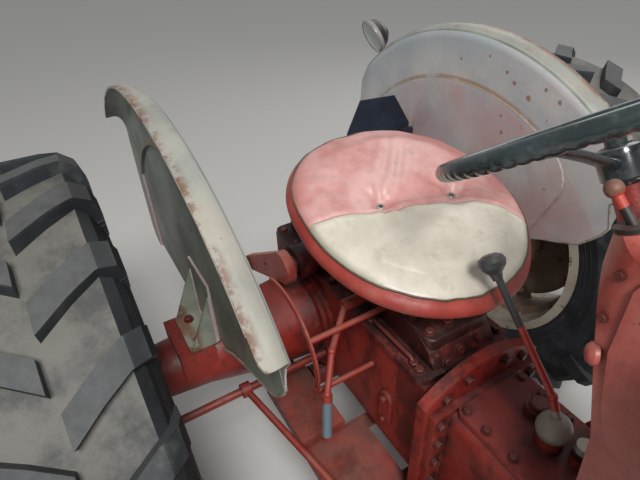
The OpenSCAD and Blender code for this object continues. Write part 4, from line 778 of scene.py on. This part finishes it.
def oval(profile, steps, half_x, half_y):
    """An oval shell: at height h the profile's radius scales the half axes, (r x cos t, r y sin t, h)."""
    t = np.linspace(0, 2 * np.pi, steps, endpoint=False)
    r = profile[:, 0:1] / 100
    h = np.broadcast_to(profile[:, 1:2] / 1000, (len(profile), steps))
    points = np.stack([r * half_x * np.cos(t), r * half_y * np.sin(t), h], -1).reshape(-1, 3)
    return points, quads(len(profile), steps)


def bell(offset, width):
    """exp(-(offset / width)^2), which is 1 where offset is 0."""
    return np.exp(-(offset / width) ** 2)


cushion = mesh_object("seat_cushion_cover", *oval(SEAT_PROFILE, 96, SEAT_HL, SEAT_HW))
tidy(cushion, 3.0)
bpy.context.view_layer.objects.active = cushion
cushion.select_set(True)
remesh = cushion.modifiers.new("remesh", "REMESH")
remesh.mode, remesh.voxel_size = "VOXEL", VOXEL
bpy.ops.object.modifier_apply(modifier="remesh")
rest = np.empty(len(cushion.data.vertices) * 3)
cushion.data.vertices.foreach_get("co", rest)
rest = rest.reshape(-1, 3)
# the sides and bottom rest in the pan, the eyelets are tied down, the top is free to swell
held = np.clip((-0.030 - rest[:, 2]) / 0.02, 0, 1)
for ex, ey in EYELETS:
    held = np.maximum(held, np.hypot(rest[:, 0] - ex, rest[:, 1] - ey) < EYELET_R)
held = np.round(held, 1)
pins = cushion.vertex_groups.new(name="pins")
for level in np.unique(held[held > 0]):
    pins.add(np.nonzero(held == level)[0].tolist(), float(level), "REPLACE")
cloth = cushion.modifiers.new("cloth", "CLOTH").settings
cloth.quality, cloth.mass = 5, 0.4
cloth.tension_stiffness = cloth.compression_stiffness = 12
cloth.bending_stiffness = 1.2
cloth.use_pressure, cloth.uniform_pressure_force = True, 4.0
cloth.vertex_group_mass = pins.name
cloth.effector_weights.gravity = 0
for step in range(1, CLOTH_FRAMES + 1):
    bpy.context.scene.frame_set(step)
bpy.ops.object.modifier_apply(modifier="cloth")
bpy.context.scene.frame_set(1)
moved = np.empty_like(rest).reshape(-1)
cushion.data.vertices.foreach_get("co", moved)
shift = moved.reshape(-1, 3) - rest
# the stuffing evens out the small wrinkles: each point takes the mean shift of its neighbours
links = np.empty(len(cushion.data.edges) * 2, int)
cushion.data.edges.foreach_get("vertices", links)
one, two = links.reshape(-1, 2).T
count = np.bincount(links, minlength=len(rest))[:, None]
for _ in range(EVENING_ROUNDS):
    total = [np.bincount(one, shift[two, k], len(rest)) + np.bincount(two, shift[one, k], len(rest))
             for k in range(3)]
    shift = 0.4 * shift + 0.6 * np.stack(total, 1) / count
far = np.linalg.norm(shift, axis=1)[:, None]
rest = rest + shift * np.minimum(1, SWELL_MAX / np.maximum(far, 1e-9))
# sewn and gathered form: a slight dome, dimples at the eyelets, radiating folds, a seam groove
x, y, z = rest.T
share = np.hypot(x / SEAT_HL, y / SEAT_HW)
top = np.clip((z + 0.05) / 0.04, 0, 1)
lift = (DOME * np.cos(np.pi * np.clip(share, 0, 1)) + REAR_RISE * np.clip(-x / SEAT_HL, 0, 1)) * top
for k, (ex, ey) in enumerate(EYELETS):
    d, angle = np.hypot(x - ex, y - ey), np.arctan2(y - ey, x - ex)
    lift -= (PIT * bell(np.maximum(0, d - EYELET_R), 0.012) + BOWL * bell(d, 0.045)) * top
    folds = np.cos(6 * angle + 1.6 * np.sin(2 * angle + 4 * k)) * bell(d - 0.042, 0.026)
    lift += FOLD * folds * top
# pull folds: a wave across each one's direction, within a spread of its middle
for (fx, fy), (ux, uy), wave, spread, deep in PULL_FOLDS:
    off_across, off_along = ux * (x - fx) + uy * (y - fy), uy * (x - fx) - ux * (y - fy)
    ridge = np.cos(2 * np.pi * off_across / wave)
    lift += deep * (ridge - 0.3 * ridge ** 2) * bell(off_along, 1.6 * spread) * bell(off_across, spread) * top
seam_x = SEAM_AT + SEAM_SLANT * y + SEAM_BEND * np.maximum(0, y - SEAM_FROM) ** 2
inside = np.clip((0.96 - share) / 0.02, 0, 1)
lift -= GROOVE * bell(x - seam_x, 0.0045) * top * inside
lift += RIDGE * bell(np.abs(x - seam_x) - 0.011, 0.006) * top * inside
rest = np.stack([x, y, z + lift], 1)
skirt = bell(z + 0.045, 0.022) * (share > 0.85)
theta = np.arctan2(y / SEAT_HW, x / SEAT_HL)
# the oval is squarer behind: |cos|^p + |sin|^p = 1 there, with p falling to 2 at the sides
power = 2 + (REAR_POWER - 2) * np.clip(-4 * np.cos(theta), 0, 1)
squarer = (np.abs(np.cos(theta)) ** power + np.abs(np.sin(theta)) ** power) ** (-1 / power)
gathers = 0.5 + 0.5 * np.sin(9 * theta + 1.5 * np.sin(4 * theta))
rest[:, :2] *= (squarer * (1 - 0.008 * skirt * gathers))[:, None]
cushion.data.vertices.foreach_set("co", (SEAT_MID + rest @ seat_axes).reshape(-1))
cushion.data.update()
cushion.data.polygons.foreach_set("use_smooth", [True] * len(cushion.data.polygons))
finer = cushion.modifiers.new("finer", "SUBSURF")
finer.levels = finer.render_levels = 1
bpy.ops.object.modifier_apply(modifier="finer")


def on_cushion(x, y, out):
    """The cushion's topmost skin at x and y of the tilted seat, in the shared frame, out metres above it."""
    near = np.hypot(rest[:, 0] - x, rest[:, 1] - y) + np.where(rest[:, 2] > -0.045, 0, 1)
    picked = rest[np.argsort(near)[:4]]
    return SEAT_MID + np.array([x, y, picked[:, 2].mean() + out]) @ seat_axes


vinyl, tree, shader = new_material("coated_vinyl_cover", {"Specular IOR Level": 0.45})
at = position(tree)
local = vector("SUBTRACT", at, tuple(SEAT_MID))
ahead, across, height = (vector("DOT_PRODUCT", local, tuple(axis), "Value") for axis in seat_axes)
in_oval = add("CombineXYZ", {0: maths("DIVIDE", ahead, SEAT_HL), 1: maths("DIVIDE", across, SEAT_HW)})
oval_share = vector("LENGTH", in_oval.outputs[0], out="Value")
bend = maths("POWER", most(maths("SUBTRACT", across, SEAM_FROM), 0.0), 2.0)
seam_line = maths("ADD", maths("ADD", times(across, SEAM_SLANT), SEAM_AT),
                  times(bend, SEAM_BEND))
past = maths("SUBTRACT", ahead, seam_line)
# painted shade: the rolled side band near the edge, from the front to 0.14 m behind the middle, is painted
# darker
side_band_shade = times(ramp(oval_share, TOP_SHARE - 0.065, TOP_SHARE + 0.012), ramp(ahead, -0.14, 0.0))
below = ramp(height, PIPING_LOW + 0.001, PIPING_LOW - 0.001)
red = blend_colour(blotches(at, 0.35, 0.65, 0.16, 5.0, 0.6), "#ba7a74", "#cfa49e")
red = tint(red, side_band_shade, 0.5, "#b35c55")
beige = blend_colour(blotches(at, 0.35, 0.70, 0.10, 6.0, 0.65, 4.0), "#c0b8a8", "#d3ccbd")
beige = tint(beige, side_band_shade, 0.9, "#858570")
skirt_red = blend_colour(blotches(at, 0.3, 0.7, 0.12, 6.0, 0.6, 15.0), "#8d332c", "#a4493f")
colour = blend_colour(ramp(past, -0.0008, 0.0008), red, beige)
colour = blend_colour(below, colour, skirt_red)
stitch = times(ramp(maths("ABSOLUTE", past), 0.0022, 0.0010),
               maths("SUBTRACT", 1.0, most(side_band_shade, below)))
colour = tint(colour, stitch, 0.6, "#7b6d5c")
soil = times(blotches(at, 0.50, 0.78, 0.05, 7.0, 0.7, 8.0), 0.40)
# the cast grain of the vinyl is about 1 mm across, drawn as 1.6 mm cells so that it shows
cells = add("TexVoronoi", {"Vector": at, "Scale": 1 / 0.0016}).outputs["Distance"]
grain = bumped(cells, 0.10, 0.0004)
feed(shader, {
    "Base Color": blend_colour(soil, colour, "#7d6a58"),
    "Roughness": maths("ADD", times(soil, 0.6), 0.40, True),
    "Normal": bumped(noise(at, 0.045, 5.0, 0.55, 6.0), 0.30, 0.004, Normal=grain)})
cushion.data.materials.append(vinyl)
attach(cushion, "tractor")
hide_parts("seat_cushion")

# THE SEAT'S TRIM is a dark piping cord sewn between the top panel and the skirt, and two plated
# eyelets at the bottom of their dimples, each with a black disc in its hole as painted shade.
EYELET_RING = ((5, 0), (5.4, 2.6), (7.4, 3.4), (9.6, 1.6), (9.8, -1), (5, -1), (5, 0))
EYELET_HOLE_SHADE = ((0, -2), (5.2, -2), (5.2, 1.2), (0, 1.2))
CORD_R = 0.0026
cord = []
for v in np.linspace(0, 2 * np.pi, 200, endpoint=False):
    # the cord lies on the skin where its height is the piping's, out from the middle along v
    way = np.arctan2(rest[:, 1] / SEAT_HW, rest[:, 0] / SEAT_HL) - v
    gap = np.abs((way + np.pi) % (2 * np.pi) - np.pi) * 0.25 + np.abs(rest[:, 2] - PIPING_LOW)
    out = np.hypot(rest[:, 0] / SEAT_HL, rest[:, 1] / SEAT_HW)[np.argsort(gap)[:3]].mean()
    cord.append((out * SEAT_HL * np.cos(v), out * SEAT_HW * np.sin(v), PIPING_LOW))
cord = np.array(cord)
cord = SEAT_MID + (np.roll(cord, 1, 0) + cord + np.roll(cord, -1, 0)) / 3 @ seat_axes
piping_vinyl = enamel("dark_vinyl_piping", "#3a2f27", "#5a4d40", grease_and_shade=0.2, rust=0.0, bump=0.1, gloss=0.45)
fitted("seat_piping", [tube(cord, CORD_R, 10, True)], piping_vinyl)
eyelet_places = [on_cushion(ex, ey, 0.001) for ex, ey in EYELETS]
fitted("seat_eyelets", [turned(EYELET_RING, 32, place, seat_axes[2]) for place in eyelet_places], chrome)
# painted shade: a black disc fills each eyelet's hole
fitted("painted_shade_in_eyelet_holes", [turned(EYELET_HOLE_SHADE, 24, place, seat_axes[2]) for place in eyelet_places],
       black_sheet)
